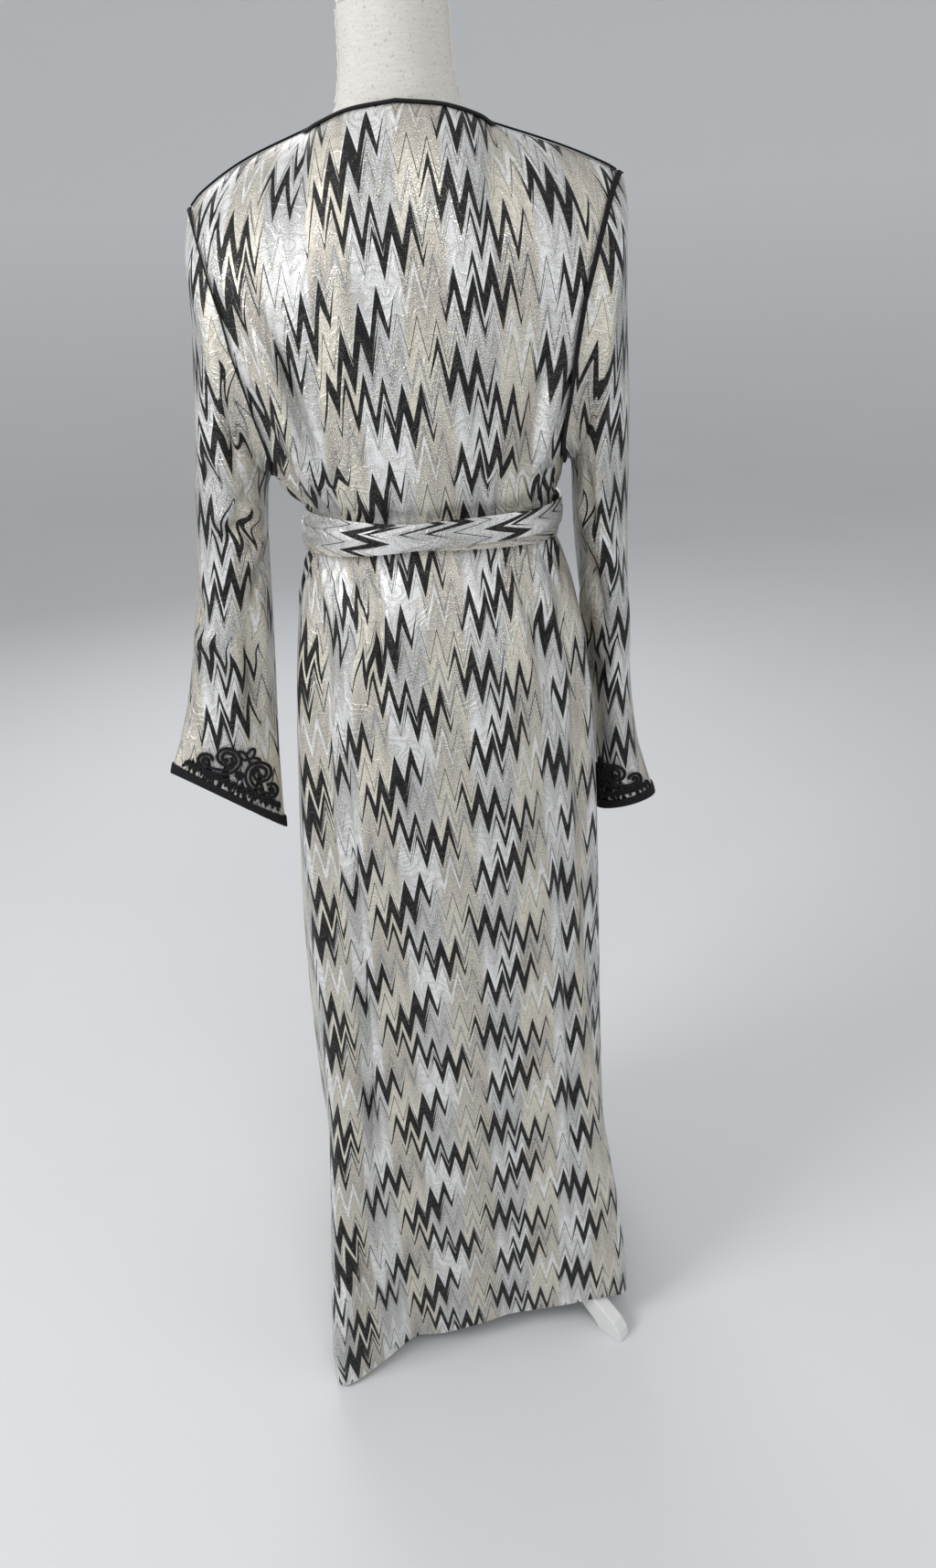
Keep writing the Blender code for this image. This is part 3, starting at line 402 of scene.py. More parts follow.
# %% Lay the floor
FLOOR_REACH = 5.0
FLOOR_BEND = 4.0
WALL_TOP = 6.0
BEND_STEPS = 24
ROUND_STEPS = 96


def floor_paint(name):
    finish = Finish(name)
    place = object_place(finish)
    _, _, height = finish.node("ShaderNodeSeparateXYZ", {}, {0: place}, (0, 1, 2))
    cloud = finish.noise(place, 1.5, 2.0)
    colour = finish.tint(cloud, (0.66, 0.67, 0.68), (0.70, 0.71, 0.72))
    # The wall is painted paler as it rises: painted light standing in for lamp light that hardly reaches
    # it.
    colour = finish.tint(finish.held(height * 0.7), colour, (0.88, 0.89, 0.90))
    return finish.finished(base_color=colour, roughness=0.8)


turns = [math.pi / 2 * k / BEND_STEPS for k in range(BEND_STEPS + 1)]
bend = [(FLOOR_REACH + FLOOR_BEND * math.sin(turn), FLOOR_BEND * (1 - math.cos(turn))) for turn in turns]
section = [(0, 0)] + bend + [(bend[-1][0], WALL_TOP)]
studio = bmesh.new()
profile = [studio.verts.new((reach, 0, height)) for reach, height in section]
for one, two in zip(profile, profile[1:]):
    studio.edges.new((one, two))
bmesh.ops.spin(
    studio, geom=studio.verts[:] + studio.edges[:], axis=(0, 0, 1), cent=(0, 0, 0), steps=ROUND_STEPS,
    angle=math.tau, use_merge=True,
)
bmesh.ops.remove_doubles(studio, verts=studio.verts, dist=0.0001)
bmesh.ops.recalc_face_normals(studio, faces=studio.faces)
floor_mesh = bpy.data.meshes.new("floor")
studio.to_mesh(floor_mesh)
studio.free()
floor_mesh.shade_smooth()
floor_mesh.materials.append(floor_paint("floor_paint"))
floor = bpy.data.objects.new("floor", floor_mesh)
bpy.context.scene.collection.objects.link(floor)
print("floor faces:", len(floor_mesh.polygons))

# %% [markdown]
# ## The body's tables
# A hanging kaftan is cloth round a body, so its surface can be worked out: level sections give the
# bodice, waist and skirt, a second table gives the hem with its corners, and the top edges run along the
# shoulders and the neckline. These are the sizes that the solids were made from, read here at a finer
# spacing.

# %% Level sections, hem and folds
UNDERARM = 1.172
BUST = 1.330  # from here up, the panels arch over to the shoulder seams
FRONT_BUST = 1.215
WAIST = 1.118
SKIRT_TOP = 1.084
HEM_FADE = 0.50
FLARE_FADE = 0.80
FLARE_CURVE = 1.6
FOLD_FADE = 0.11
CENTRE_SHIFT = Vector((-0.026, -0.013, 0.0))

Section = namedtuple("Section", "z left right back front power")
BODY = [Section(*row) for row in (
    (0.00, 0.190, 0.186, 0.172, 0.170, 2.2),
    (0.30, 0.195, 0.181, 0.163, 0.160, 2.3),
    (0.60, 0.187, 0.182, 0.158, 0.152, 2.4),
    (0.80, 0.172, 0.179, 0.152, 0.143, 2.4),
    (0.94, 0.158, 0.172, 0.145, 0.136, 2.3),
    (1.03, 0.145, 0.160, 0.130, 0.122, 2.2),
    (1.075, 0.1310, 0.1470, 0.118, 0.110, 2.1),
    (1.095, 0.1250, 0.1390, 0.112, 0.104, 2.1),
    (WAIST, 0.1235, 0.1370, 0.110, 0.102, 2.1),
    (1.142, 0.1250, 0.1385, 0.111, 0.104, 2.1),
    (1.156, 0.1390, 0.1440, 0.118, 0.111, 2.1),
    (UNDERARM, 0.155, 0.150, 0.122, 0.117, 2.1),
    (1.205, 0.174, 0.169, 0.124, 0.125, 2.2),
    (1.250, 0.195, 0.189, 0.124, 0.134, 2.3),
    (BUST, 0.220, 0.214, 0.119, 0.128, 2.3),
)]

Hem = namedtuple("Hem", "angle reach height")
HEM = [Hem(*row) for row in (
    (0, 0.190, 0.034), (25, 0.196, 0.030), (38, 0.228, 0.018), (45, 0.262, 0.008), (53, 0.290, 0.004),
    (59, 0.246, 0.012), (64, 0.216, 0.021), (72, 0.198, 0.028), (82, 0.182, 0.031), (95, 0.172, 0.033),
    (108, 0.170, 0.037), (122, 0.188, 0.042), (134, 0.224, 0.055), (141, 0.245, 0.054), (147, 0.256, 0.042),
    (156, 0.238, 0.036), (170, 0.202, 0.038), (185, 0.192, 0.040), (205, 0.208, 0.042), (219, 0.240, 0.055),
    (229, 0.252, 0.060), (239, 0.238, 0.055), (252, 0.200, 0.043), (270, 0.184, 0.040), (290, 0.202, 0.043),
    (309, 0.240, 0.055), (319, 0.252, 0.060), (329, 0.240, 0.055), (343, 0.206, 0.041), (360, 0.190, 0.034),
)]

Fold = namedtuple("Fold", "low_angle high_angle z_low z_high depth width")
FOLDS = [Fold(*row) for row in (
    (66, 40, 0.00, 1.08, -0.013, 8), (55, 27, 0.00, 1.06, 0.008, 10), (163, 150, 0.20, 1.09, -0.010, 8),
    (176, 164, 0.10, 1.08, 0.006, 9), (78, 74, 0.78, 1.10, 0.006, 7), (95, 92, 0.86, 1.10, -0.005, 7),
    (111, 108, 0.80, 1.10, 0.006, 7), (134, 127, 0.70, 1.10, -0.006, 8), (206, 208, 0.00, 1.08, -0.010, 10),
    (236, 232, 0.10, 1.09, 0.007, 9), (252, 246, 0.30, 1.09, -0.007, 8), (288, 294, 0.30, 1.09, -0.007, 8),
    (304, 310, 0.10, 1.09, 0.007, 9), (334, 333, 0.00, 1.08, -0.010, 10), (49, 43, 1.24, 1.38, 0.007, 8),
    (64, 57, 1.24, 1.38, -0.006, 9), (122, 136, 1.24, 1.38, -0.006, 9), (238, 222, 1.24, 1.34, -0.007, 10),
    (302, 318, 1.24, 1.34, -0.007, 10),
)]
print("sections:", len(BODY), "hem points:", len(HEM), "folds:", len(FOLDS))

# %% Armholes, shoulders and necklines
Armhole = namedtuple("Armhole", "z angle")
ARMHOLE = [Armhole(*row) for row in (
    (UNDERARM, 0), (1.177, 12), (1.188, 24), (1.209, 33), (1.255, 39), (BUST, 41),
)]
RIDGE = 7 / 12  # share of a half panel's width that ends on the shoulder seam
Edge = namedtuple("Edge", "share x y z")
TOP_LEFT = [Edge(*row) for row in (
    (0.00, 0.208, 0.002, 1.421), (0.12, 0.191, 0.001, 1.437), (0.34, 0.148, -0.002, 1.461),
    (RIDGE, 0.085, -0.006, 1.484),
)]
TOP_RIGHT = [Edge(*row) for row in (
    (0.00, 0.209, 0.002, 1.432), (0.12, 0.192, 0.001, 1.442), (0.34, 0.148, -0.002, 1.460),
    (RIDGE, 0.085, -0.006, 1.4809),
)]
NECK_BACK = [Edge(*row) for row in (
    (0.70, 0.073, 0.026, 1.4865), (0.85, 0.042, 0.047, 1.4950), (1.00, 0.0, 0.053, 1.4995),
)]
NECK_FRONT = [Edge(*row) for row in (
    (0.66, 0.078, -0.040, 1.464), (0.76, 0.058, -0.078, 1.418), (0.88, 0.030, -0.110, 1.352),
    (1.00, 0.0, -0.125, 1.292),
)]


# %% Read a table on a smooth curve
def eased(share):
    share = min(max(share, 0.0), 1.0)
    return share * share * (3 - 2 * share)


def read(table, key, column, at):
    """The value of a column at a place along the key column."""
    keys = [getattr(row, key) for row in table]
    values = [getattr(row, column) for row in table]
    if at <= keys[0]:
        return values[0]
    if at >= keys[-1]:
        return values[-1]
    i = bisect_right(keys, at) - 1
    gap = keys[i + 1] - keys[i]
    share = (at - keys[i]) / gap

    def slope(k):
        low, high = max(k - 1, 0), min(k + 1, len(keys) - 1)
        return (values[high] - values[low]) / (keys[high] - keys[low]) * gap

    square = share * share
    cube = square * share
    return (
        (2 * cube - 3 * square + 1) * values[i]
        + (cube - 2 * square + share) * slope(i)
        + (3 * square - 2 * cube) * values[i + 1]
        + (cube - square) * slope(i + 1)
    )


def signed_power(value, power):
    return math.copysign(abs(value) ** power, value)


def towards(start, end, distance):
    return start + (end - start).normalized() * distance


# %% A point of the body, at an angle and a height
def fold_depth(angle, z):
    total = 0.0
    for fold in FOLDS:
        if not fold.z_low - FOLD_FADE < z < fold.z_high:
            continue
        height = min(max((z - fold.z_low) / (fold.z_high - fold.z_low), 0.0), 1.0)
        middle = fold.low_angle + (fold.high_angle - fold.low_angle) * height
        away = (angle - middle + 180) % 360 - 180
        head = eased((fold.z_high - z) / FOLD_FADE)
        foot = 1.0 if fold.z_low <= 0 else eased((z - fold.z_low + FOLD_FADE) / FOLD_FADE)
        total += fold.depth * head * foot * math.exp(-((away / fold.width) ** 2))
    return total


def body_point(angle, z):
    """Angle 0 is the wearer's left, and 90 the back."""
    turn = math.radians(angle)
    c, s = math.cos(turn), math.sin(turn)
    power = 2 / read(BODY, "z", "power", z)
    side = read(BODY, "z", "left" if c > 0 else "right", z)
    depth = read(BODY, "z", "back" if s > 0 else "front", z)
    level = Vector((side * signed_power(c, power), depth * signed_power(s, power), z))
    reach = read(HEM, "angle", "reach", angle % 360)
    level = level.lerp(Vector((reach * c, reach * s, z)), eased(1 - z / FLARE_FADE) ** FLARE_CURVE)
    return level + Vector((level.x, level.y, 0)).normalized() * fold_depth(angle, z)


print("middle of the back at the waist:", [round(v, 3) for v in body_point(90, WAIST)])

# %% [markdown]
# ## Panels of cloth
# Each panel is a sheet of points in rows and columns. Simulated drape would lose the sizes, so the sheet
# is worked out from the tables, and soft creases are pressed into it one by one. Its
# flat map comes from lengths along the cloth, so the print keeps its scale wherever the cloth bends.

# %% The grid of a half panel
WALL = 0.0016
SEAM = 0.0003
BEND_SEAM = 0.0011
HALF_COLUMNS = 60
RIDGE_COLUMNS = round(HALF_COLUMNS * RIDGE)
SKIRT_ROWS = 120
WAIST_ROWS = 26
BODICE_ROWS = 30
ARCH_ROWS = 32
ARCH_START = 0.2


def column_heights(bust):
    skirt = [SKIRT_TOP * row / SKIRT_ROWS for row in range(SKIRT_ROWS)]
    waist = [SKIRT_TOP + (UNDERARM - SKIRT_TOP) * row / WAIST_ROWS for row in range(WAIST_ROWS)]
    bodice = [UNDERARM + (bust - UNDERARM) * (row / BODICE_ROWS) ** 1.5 for row in range(BODICE_ROWS + 1)]
    return skirt + waist + bodice


def arch(base, top, rows):
    """Evenly spaced points on the quarter ellipse from a base point up and over to a top point."""
    fine = 96
    curve = []
    for k in range(fine + 1):
        turn = math.pi / 2 * k / fine
        y = top.y + (base.y - top.y) * math.cos(turn)
        curve.append((y, base.z + (top.z - base.z) * math.sin(turn)))
    lengths = [0.0]
    for one, two in zip(curve, curve[1:]):
        lengths.append(lengths[-1] + math.dist(one, two))
    points = []
    for row in range(1, rows + 1):
        along = lengths[-1] * row / rows
        k = min(bisect_right(lengths, along), fine) - 1
        part = (along - lengths[k]) / (lengths[k + 1] - lengths[k])
        y, z = (a + (b - a) * part for a, b in zip(curve[k], curve[k + 1]))
        points.append(Vector((base.x + (top.x - base.x) * row / rows, y, z)))
    return points


def edge_point(table, share, left):
    x = read(table, "share", "x", share)
    return Vector((x if left else -x, read(table, "share", "y", share), read(table, "share", "z", share)))


def top_point(share, left, neck):
    ridge = TOP_LEFT if left else TOP_RIGHT
    return edge_point(ridge if share <= RIDGE else ridge[-1:] + neck, share, left)


def half_body(side, centre, neck, centre_bust):
    """The columns of one half of the back or front, from its side seam to its centre."""
    left = side in (0, 360)
    way = 1 if centre > side else -1
    columns = []
    for column in range(HALF_COLUMNS + 1):
        share = column / HALF_COLUMNS
        bust = BUST + (centre_bust - BUST) * eased((share - ARCH_START) / (1 - ARCH_START))
        points = []
        for z in column_heights(bust):
            edge = read(ARMHOLE, "z", "angle", z)
            angle = side + way * (edge + (90 - edge) * share)
            lift = read(HEM, "angle", "height", angle % 360) * max(1 - z / HEM_FADE, 0.0)
            points.append(body_point(angle, z + lift))
        columns.append(points + arch(points[-1], top_point(share, left, neck), ARCH_ROWS))
    return columns


def as_rows(columns):
    return [list(row) for row in zip(*columns)]


# %% The sheet's flat map, its normals and its creases
def lay_flat(rows, middle, loop=False):
    """Each point's place in the flat cloth: across from the middle column, and up.

    A loop's rows end where they began.
    """
    flat = []
    for i, row in enumerate(rows):
        line = row + row[:1] if loop else row
        steps = [0.0]
        for one, two in zip(line, line[1:]):
            steps.append(steps[-1] + (two - one).length)
        flat.append([[step - steps[middle], 0.0] for step in steps])
        for j, spot in enumerate(flat[-1]):
            point = line[j]
            if i == 0:
                spot[1] = point.z
            else:
                below = rows[i - 1][j % len(rows[i - 1])]
                rise = (point - below).length
                spot[1] = flat[i - 1][j][1] + (rise if rows[-1][0].z > rows[0][0].z else -rise)
    return flat


def sheet_normals(rows, loop=False):
    height, width = len(rows), len(rows[0])
    normals = []
    for i in range(height):
        line = []
        for j in range(width):
            before, after = (j - 1, (j + 1) % width) if loop else (max(j - 1, 0), min(j + 1, width - 1))
            across = rows[i][after] - rows[i][before]
            up = rows[min(i + 1, height - 1)][j] - rows[max(i - 1, 0)][j]
            line.append(across.cross(up).normalized())
        normals.append(line)
    return normals


def hang_flat(rows, start, level_from):
    """Places across and up on a hanging tube, with the column at start as its middle.

    Across is measured level round it, so that the print hangs straight. Above the row level_from, it is
    carried up the columns instead, because the rows there slant.
    """
    count = len(rows[0])
    levels = [[n.cross(Vector((0, 0, 1))).normalized() for n in line] for line in sheet_normals(rows, True)]
    across = []
    for row, line in zip(rows, levels):
        steps = [0.0]
        for k, point in enumerate(row):
            after = (k + 1) % count
            steps.append(steps[-1] + (line[k] + line[after]).dot(row[after] - point) / 2)
        across.append([step - steps[start] for step in steps])
    for i in range(level_from - 1, -1, -1):
        for k in range(count + 1):
            j = k % count
            across[i][k] = across[i + 1][k] + levels[i][j].dot(rows[i][j] - rows[i + 1][j])
    return [[[x, point.z] for x, point in zip(line, row + row[:1])] for line, row in zip(across, rows)]


Crease = namedtuple("Crease", "across_a z_a across_b z_b depth width")
CREASE_REACH = 2.5  # how far a crease reaches to its sides, in widths
CREASE_END = 0.4  # the share of its length over which it fades out at each end


def crease_depth(creases, across, z):
    """How far the creases move the cloth at a place across from its middle, and at a height."""
    total = 0.0
    for crease in creases:
        run_x, run_z = crease.across_b - crease.across_a, crease.z_b - crease.z_a
        length = math.hypot(run_x, run_z)
        x, y = across - crease.across_a, z - crease.z_a
        along = (x * run_x + y * run_z) / length
        if not 0 < along < length:
            continue
        beside = (x * run_z - y * run_x) / length / crease.width
        if abs(beside) < CREASE_REACH:
            end = eased(min(along, length - along) / (CREASE_END * length))
            total += crease.depth * end * math.exp(-beside * beside)
    return total


def mirrored(creases):
    return [crease._replace(across_a=-crease.across_a, across_b=-crease.across_b) for crease in creases]


def creased(rows, flat, normals, creases):
    return [
        [p + n * crease_depth(creases, spot[0], p.z) for p, n, spot in zip(row, line, spots)]
        for row, line, spots in zip(rows, normals, flat)
    ]


# %% Make a sheet an object
def apply_modifier(thing, kind, **settings):
    bpy.ops.object.select_all(action="DESELECT")
    bpy.context.view_layer.objects.active = thing
    thing.select_set(True)
    modifier = thing.modifiers.new(kind.title(), kind)
    for name, value in settings.items():
        setattr(modifier, name, value)
    bpy.ops.object.modifier_apply(modifier=modifier.name)


def sheet_object(name, rows, flat, wall, material, loop=False):
    """A sheet of points made a wall, half of its thickness to each side, with the flat map on it."""
    width = len(rows[0])
    points = [point + CENTRE_SHIFT for row in rows for point in row]
    faces, spots = [], []
    for i in range(len(rows) - 1):
        for j in range(width if loop else width - 1):
            k = (j + 1) % width
            faces.append((i * width + j, i * width + k, (i + 1) * width + k, (i + 1) * width + j))
            spots += [flat[i][j], flat[i][j + 1], flat[i + 1][j + 1], flat[i + 1][j]]
    mesh = bpy.data.meshes.new(name)
    mesh.from_pydata(points, [], faces)
    layer = mesh.uv_layers.new(name=CLOTH_MAP)
    for corner, spot in zip(layer.data, spots):
        corner.uv = spot
    mesh.materials.append(material)
    thing = bpy.data.objects.new(name, mesh)
    bpy.context.scene.collection.objects.link(thing)
    apply_modifier(thing, "SOLIDIFY", thickness=wall, offset=0)
    mesh.shade_smooth()
    mesh.set_sharp_from_angle(angle=math.radians(50))
    return thing


def placed(piece, slot, *nodes):
    """The piece rides on the body and stands for its nodes, which are hidden. The slot is not used."""
    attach(piece, "root")
    if nodes:
        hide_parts(*nodes)
    return piece


def cloth_size(rows, loop=False):
    """The widest row, the longest column and the area of a sheet of points."""
    lines = [row + row[:1] if loop else row for row in rows]
    wide = max(sum((b - a).length for a, b in zip(line, line[1:])) for line in lines)
    long = max(sum((b - a).length for a, b in zip(column, column[1:])) for column in zip(*rows))
    area = 0.0
    for low, high in zip(lines, lines[1:]):
        for a, b, c, d in zip(low, low[1:], high, high[1:]):
            area += ((b - a).cross(c - a).length + (d - b).cross(d - c).length) / 2
    return [round(value, 3) for value in (wide, long, area)]


# %% [markdown]
# ## Creases
# The belt gathers the cloth, so short pleats fan out above and below it, close together and unequal.
# Longer creases lead from the underarms to the waist. Each is a line on the cloth with a depth and a
# width: below zero it is a valley.

# %% Pleats at the belt
random.seed(11)
PLEATED = 0.17  # how far from a panel's middle the pleats go
PLEAT_PITCH = 0.011
PLEAT_LEAN = 0.22
PLEAT_DEPTHS = (0.0010, 0.0032)
PLEAT_WIDTHS = (0.0028, 0.0048)
PLEAT_LENGTHS = (0.035, 0.095)
PLEAT_STARTS = ((1.104, -1), (1.128, 1))  # height, and down or up from there


def belt_pleats(reach):
    """Short pleats above and below the belt, to both sides of a panel's middle."""
    pleats = []
    across = -reach
    while across < reach:
        lean = across * PLEAT_LEAN
        depth = random.uniform(*PLEAT_DEPTHS) * (0.6 + 0.9 * abs(across) / reach)
        width = random.uniform(*PLEAT_WIDTHS)
        for start, way in PLEAT_STARTS:
            length = random.uniform(*PLEAT_LENGTHS)
            sign = random.choice((-1, 1))
            far = across + lean * (1 + 3 * length)
            pleats.append(Crease(across, start, far, start + way * length, sign * depth, width))
        across += PLEAT_PITCH * random.uniform(0.6, 1.4)
    return pleats


# The long creases of the back. Across is to the right in the picture.
BACK_CREASES = [Crease(*row) for row in (
    (-0.160, 1.390, -0.100, 1.135, 0.0100, 0.009),
    (-0.144, 1.370, -0.086, 1.135, -0.0090, 0.008),
    (-0.120, 1.330, -0.070, 1.140, 0.0060, 0.009),
    (-0.172, 1.300, -0.125, 1.150, -0.0070, 0.007),
    (0.150, 1.300, 0.112, 1.140, 0.0090, 0.009),
    (0.134, 1.300, 0.098, 1.140, -0.0075, 0.008),
    (-0.030, 1.440, -0.080, 1.240, 0.0037, 0.016),
    (0.040, 1.430, 0.085, 1.250, 0.0034, 0.016),
    (0.080, 1.100, 0.138, 0.860, 0.0060, 0.011),
    (0.104, 1.100, 0.166, 0.860, -0.0075, 0.009),
    (0.124, 1.095, 0.186, 0.860, 0.0060, 0.010),
    (-0.060, 1.100, -0.064, 0.960, 0.0058, 0.006),
    (-0.049, 1.100, -0.050, 0.950, -0.0061, 0.005),
    (-0.040, 1.098, -0.036, 0.980, 0.0048, 0.005),
    (-0.120, 1.060, -0.138, 0.300, 0.0071, 0.012),
    (-0.104, 1.040, -0.118, 0.060, -0.0099, 0.008),
    (-0.088, 1.000, -0.100, 0.100, 0.0058, 0.012),
    (0.150, 0.860, 0.146, 0.080, -0.0085, 0.009),
    (0.132, 0.860, 0.128, 0.120, 0.0051, 0.014),
    (0.010, 0.760, 0.016, 0.200, 0.0037, 0.024),
    (0.060, 0.680, 0.070, 0.080, -0.0037, 0.022),
    (-0.150, 0.250, -0.210, 0.010, 0.0085, 0.010),
    (-0.130, 0.280, -0.178, 0.010, -0.0102, 0.009),
    (-0.110, 0.240, -0.150, 0.010, 0.0068, 0.009),
)]
FRONT_CREASES = [Crease(*row) for row in (
    (0.140, 1.300, 0.090, 1.140, 0.0040, 0.010),
    (0.120, 1.320, 0.070, 1.140, -0.0032, 0.009),
    (0.060, 1.098, 0.075, 0.700, 0.0030, 0.010),
    (0.085, 1.098, 0.110, 0.600, -0.0036, 0.010),
    (0.120, 1.090, 0.160, 0.500, 0.0036, 0.012),
)]

# %% [markdown]
# ## The back and the two fronts
# The back is one piece, cut on the straight so that the zigzags stand upright at its middle. The fronts
# meet edge to edge. Their side edges and tops are drawn in by a hair, so that the seams show as fine
# lines.


# %% Work out the three panels
def parted(rows):
    made = [row[:] for row in rows]
    for row, old in zip(made, rows):
        row[0] = towards(old[0], old[1], SEAM)
        row[-1] = towards(old[-1], old[-2], SEAM)
    made[-1] = [towards(top, below, BEND_SEAM / 2) for top, below in zip(made[-1], made[-2])]
    return made


back_rows = as_rows(half_body(0, 90, NECK_BACK, BUST) + half_body(180, 90, NECK_BACK, BUST)[-2::-1])
right_rows = as_rows(half_body(180, 270, NECK_FRONT, FRONT_BUST))
left_rows = as_rows(half_body(360, 270, NECK_FRONT, FRONT_BUST)[::-1])
PANELS = {
    "back": (back_rows, HALF_COLUMNS, BACK_CREASES),
    "front_right": (right_rows, HALF_COLUMNS, mirrored(FRONT_CREASES)),
    "front_left": (left_rows, 0, FRONT_CREASES),
}
panels, panel_normals, panel_objects = {}, {}, {}
for name, (rows, middle, creases) in PANELS.items():
    creases = creases + belt_pleats(PLEATED)
    panel_normals[name] = sheet_normals(rows)
    panels[name] = creased(parted(rows), lay_flat(rows, middle), panel_normals[name], creases)
    flat = lay_flat(panels[name], middle)
    panel_objects[name] = sheet_object(f"{name}_panel", panels[name], flat, WALL, CLOTH)
    placed(panel_objects[name], "cloth", name)
    print(name, "widest, longest, area:", cloth_size(rows))

# %% [markdown]
# ## The sleeves
# A sleeve is a tube from the armhole to the cuff. Rings set how it hangs: it is empty, so it is flat and
# falls forwards or back by itself. The rings are joined by smooth curves, with creases at the underarm
# and the elbow.

# %% Rings of the sleeves
Ring = namedtuple("Ring", "outer_x outer_z inner_x inner_z y depth")
SLEEVE_LEFT = [Ring(*row) for row in (
    (0.2120, 1.398, 0.1600, 1.172, 0.002, 0.080),
    (0.2155, 1.350, 0.1640, 1.165, 0.002, 0.075),
    (0.2225, 1.292, 0.1680, 1.154, 0.000, 0.069),
    (0.2315, 1.226, 0.1710, 1.136, -0.002, 0.063),
    (0.2425, 1.160, 0.1745, 1.108, -0.004, 0.058),
    (0.2525, 1.090, 0.1780, 1.064, -0.006, 0.055),
    (0.2655, 1.020, 0.1820, 1.002, -0.003, 0.051),
    (0.2785, 0.955, 0.1860, 0.934, 0.005, 0.044),
    (0.2900, 0.908, 0.1890, 0.868, 0.021, 0.031),
    (0.2990, 0.878, 0.1900, 0.816, 0.034, 0.023),
    (0.3080, 0.854, 0.1905, 0.777, 0.042, 0.018),
    (0.3115, 0.842, 0.1905, 0.764, 0.045, 0.016),
)]
SLEEVE_RIGHT = [Ring(*row) for row in (
    (0.2120, 1.414, 0.1580, 1.170, 0.002, 0.080),
    (0.2130, 1.360, 0.1600, 1.162, 0.001, 0.075),
    (0.2155, 1.296, 0.1610, 1.150, -0.003, 0.070),
    (0.2190, 1.228, 0.1615, 1.132, -0.008, 0.065),
    (0.2205, 1.158, 0.1630, 1.102, -0.016, 0.061),
    (0.2220, 1.086, 0.1670, 1.056, -0.026, 0.059),
    (0.2245, 1.014, 0.1740, 0.994, -0.036, 0.058),
    (0.2280, 0.942, 0.1820, 0.926, -0.042, 0.056),
    (0.2330, 0.876, 0.1870, 0.860, -0.042, 0.051),
    (0.2420, 0.816, 0.1910, 0.799, -0.038, 0.045),
    (0.2580, 0.761, 0.1935, 0.744, -0.033, 0.039),
    (0.2610, 0.748, 0.1940, 0.731, -0.031, 0.037),
)]
CUFF_TILT = 0.012
TILT_CURVE = 4
SETTLE = 1.6
ROWS_BETWEEN = 10  # rows of the sheet from one ring to the next

# Creases of the sleeves. Across is from the back's middle line, and towards the body below zero.
SLEEVE_CREASES = {
    "left": [Crease(*row) for row in (
        (-0.075, 1.175, 0.010, 1.105, -0.0101, 0.012),
        (-0.075, 1.150, 0.020, 1.130, 0.0081, 0.010),
        (-0.080, 1.130, -0.005, 1.060, 0.0081, 0.010),
        (-0.080, 1.110, -0.020, 1.020, -0.0081, 0.009),
        (-0.055, 1.120, 0.045, 1.210, -0.0068, 0.012),
        (-0.040, 1.060, -0.052, 0.890, 0.0074, 0.010),
        (-0.022, 1.050, -0.034, 0.880, -0.0081, 0.009),
        (0.030, 1.060, 0.050, 1.000, -0.0061, 0.012),
        (0.000, 1.010, 0.055, 0.985, 0.0047, 0.010),
        (0.020, 1.300, 0.030, 1.150, 0.0047, 0.014),
        (-0.030, 1.260, -0.045, 1.160, -0.0054, 0.012),
        (0.010, 0.960, -0.030, 0.870, 0.0043, 0.010),
    )],
    "right": [Crease(*row) for row in (
        (-0.070, 1.175, 0.000, 1.090, -0.0095, 0.011),
        (-0.072, 1.150, 0.006, 1.050, 0.0088, 0.010),
        (-0.050, 1.140, 0.004, 0.960, -0.0081, 0.009),
        (-0.030, 1.190, 0.016, 1.000, 0.0074, 0.010),
        (0.000, 1.260, 0.020, 1.120, -0.0054, 0.012),
        (-0.050, 1.050, -0.055, 0.880, 0.0068, 0.010),
        (0.030, 1.060, 0.020, 0.900, 0.0047, 0.012),
        (0.020, 0.980, -0.040, 0.920, -0.0061, 0.011),
    )],
}


# %% The armhole, the rings and the rows between them
def armhole_loop(back, front, back_normals, front_normals, column_back, column_front):
    """The points and normals round an armhole: from the shoulder tip down the back, then up the front."""
    low = len(back) - 1 - BODICE_ROWS - ARCH_ROWS
    down = range(len(back) - 1, low - 1, -1)
    points = [back[i][column_back].copy() for i in down]
    normals = [back_normals[i][column_back] for i in down]
    for i in range(low + 1, len(front) - 1):
        points.append(front[i][column_front].copy())
        normals.append(front_normals[i][column_front])
    for shared, row in ((0, -1), (len(down) - 1, low)):
        normals[shared] = (back_normals[row][column_back] + front_normals[row][column_front]).normalized()
    return points, normals


def loop_outwards(points, normals):
    count = len(points)
    ways = [(points[(k + 1) % count] - points[k - 1]).cross(normals[k]).normalized() for k in range(count)]
    return [-way for way in ways] if ways[0].x * points[0].x < 0 else ways


def ring_rows(loop, ways, rings, left):
    """The armhole and the rings, each as a row of points."""
    rows = [[p + way * BEND_SEAM for p, way in zip(loop, ways)]]
    low, top = min(p.z for p in loop), max(p.z for p in loop)
    turns = []
    for k, point in enumerate(loop):
        turn = math.acos(min(max(2 * (point.z - low) / (top - low) - 1, -1.0), 1.0))
        turns.append(turn if k <= len(loop) / 2 else -turn)
    for index, ring in enumerate(rings):
        share = (index + 1) / len(rings)
        settle = min(share * SETTLE, 1.0)
        row = []
        for k, turn in enumerate(turns):
            even = 2 * math.pi * k / len(turns)
            even = even if even <= math.pi else even - 2 * math.pi
            angle = turn + (even - turn) * settle
            c, s = math.cos(angle), math.sin(angle)
            x = (ring.outer_x + ring.inner_x) / 2 + (ring.outer_x - ring.inner_x) / 2 * c
            z = (ring.outer_z + ring.inner_z) / 2 + (ring.outer_z - ring.inner_z) / 2 * c
            place = Vector((x, ring.y + ring.depth * s, z + CUFF_TILT * share**TILT_CURVE * s))
            row.append(Vector((place.x if left else -place.x, place.y, place.z)))
        rows.append(row)
    return rows


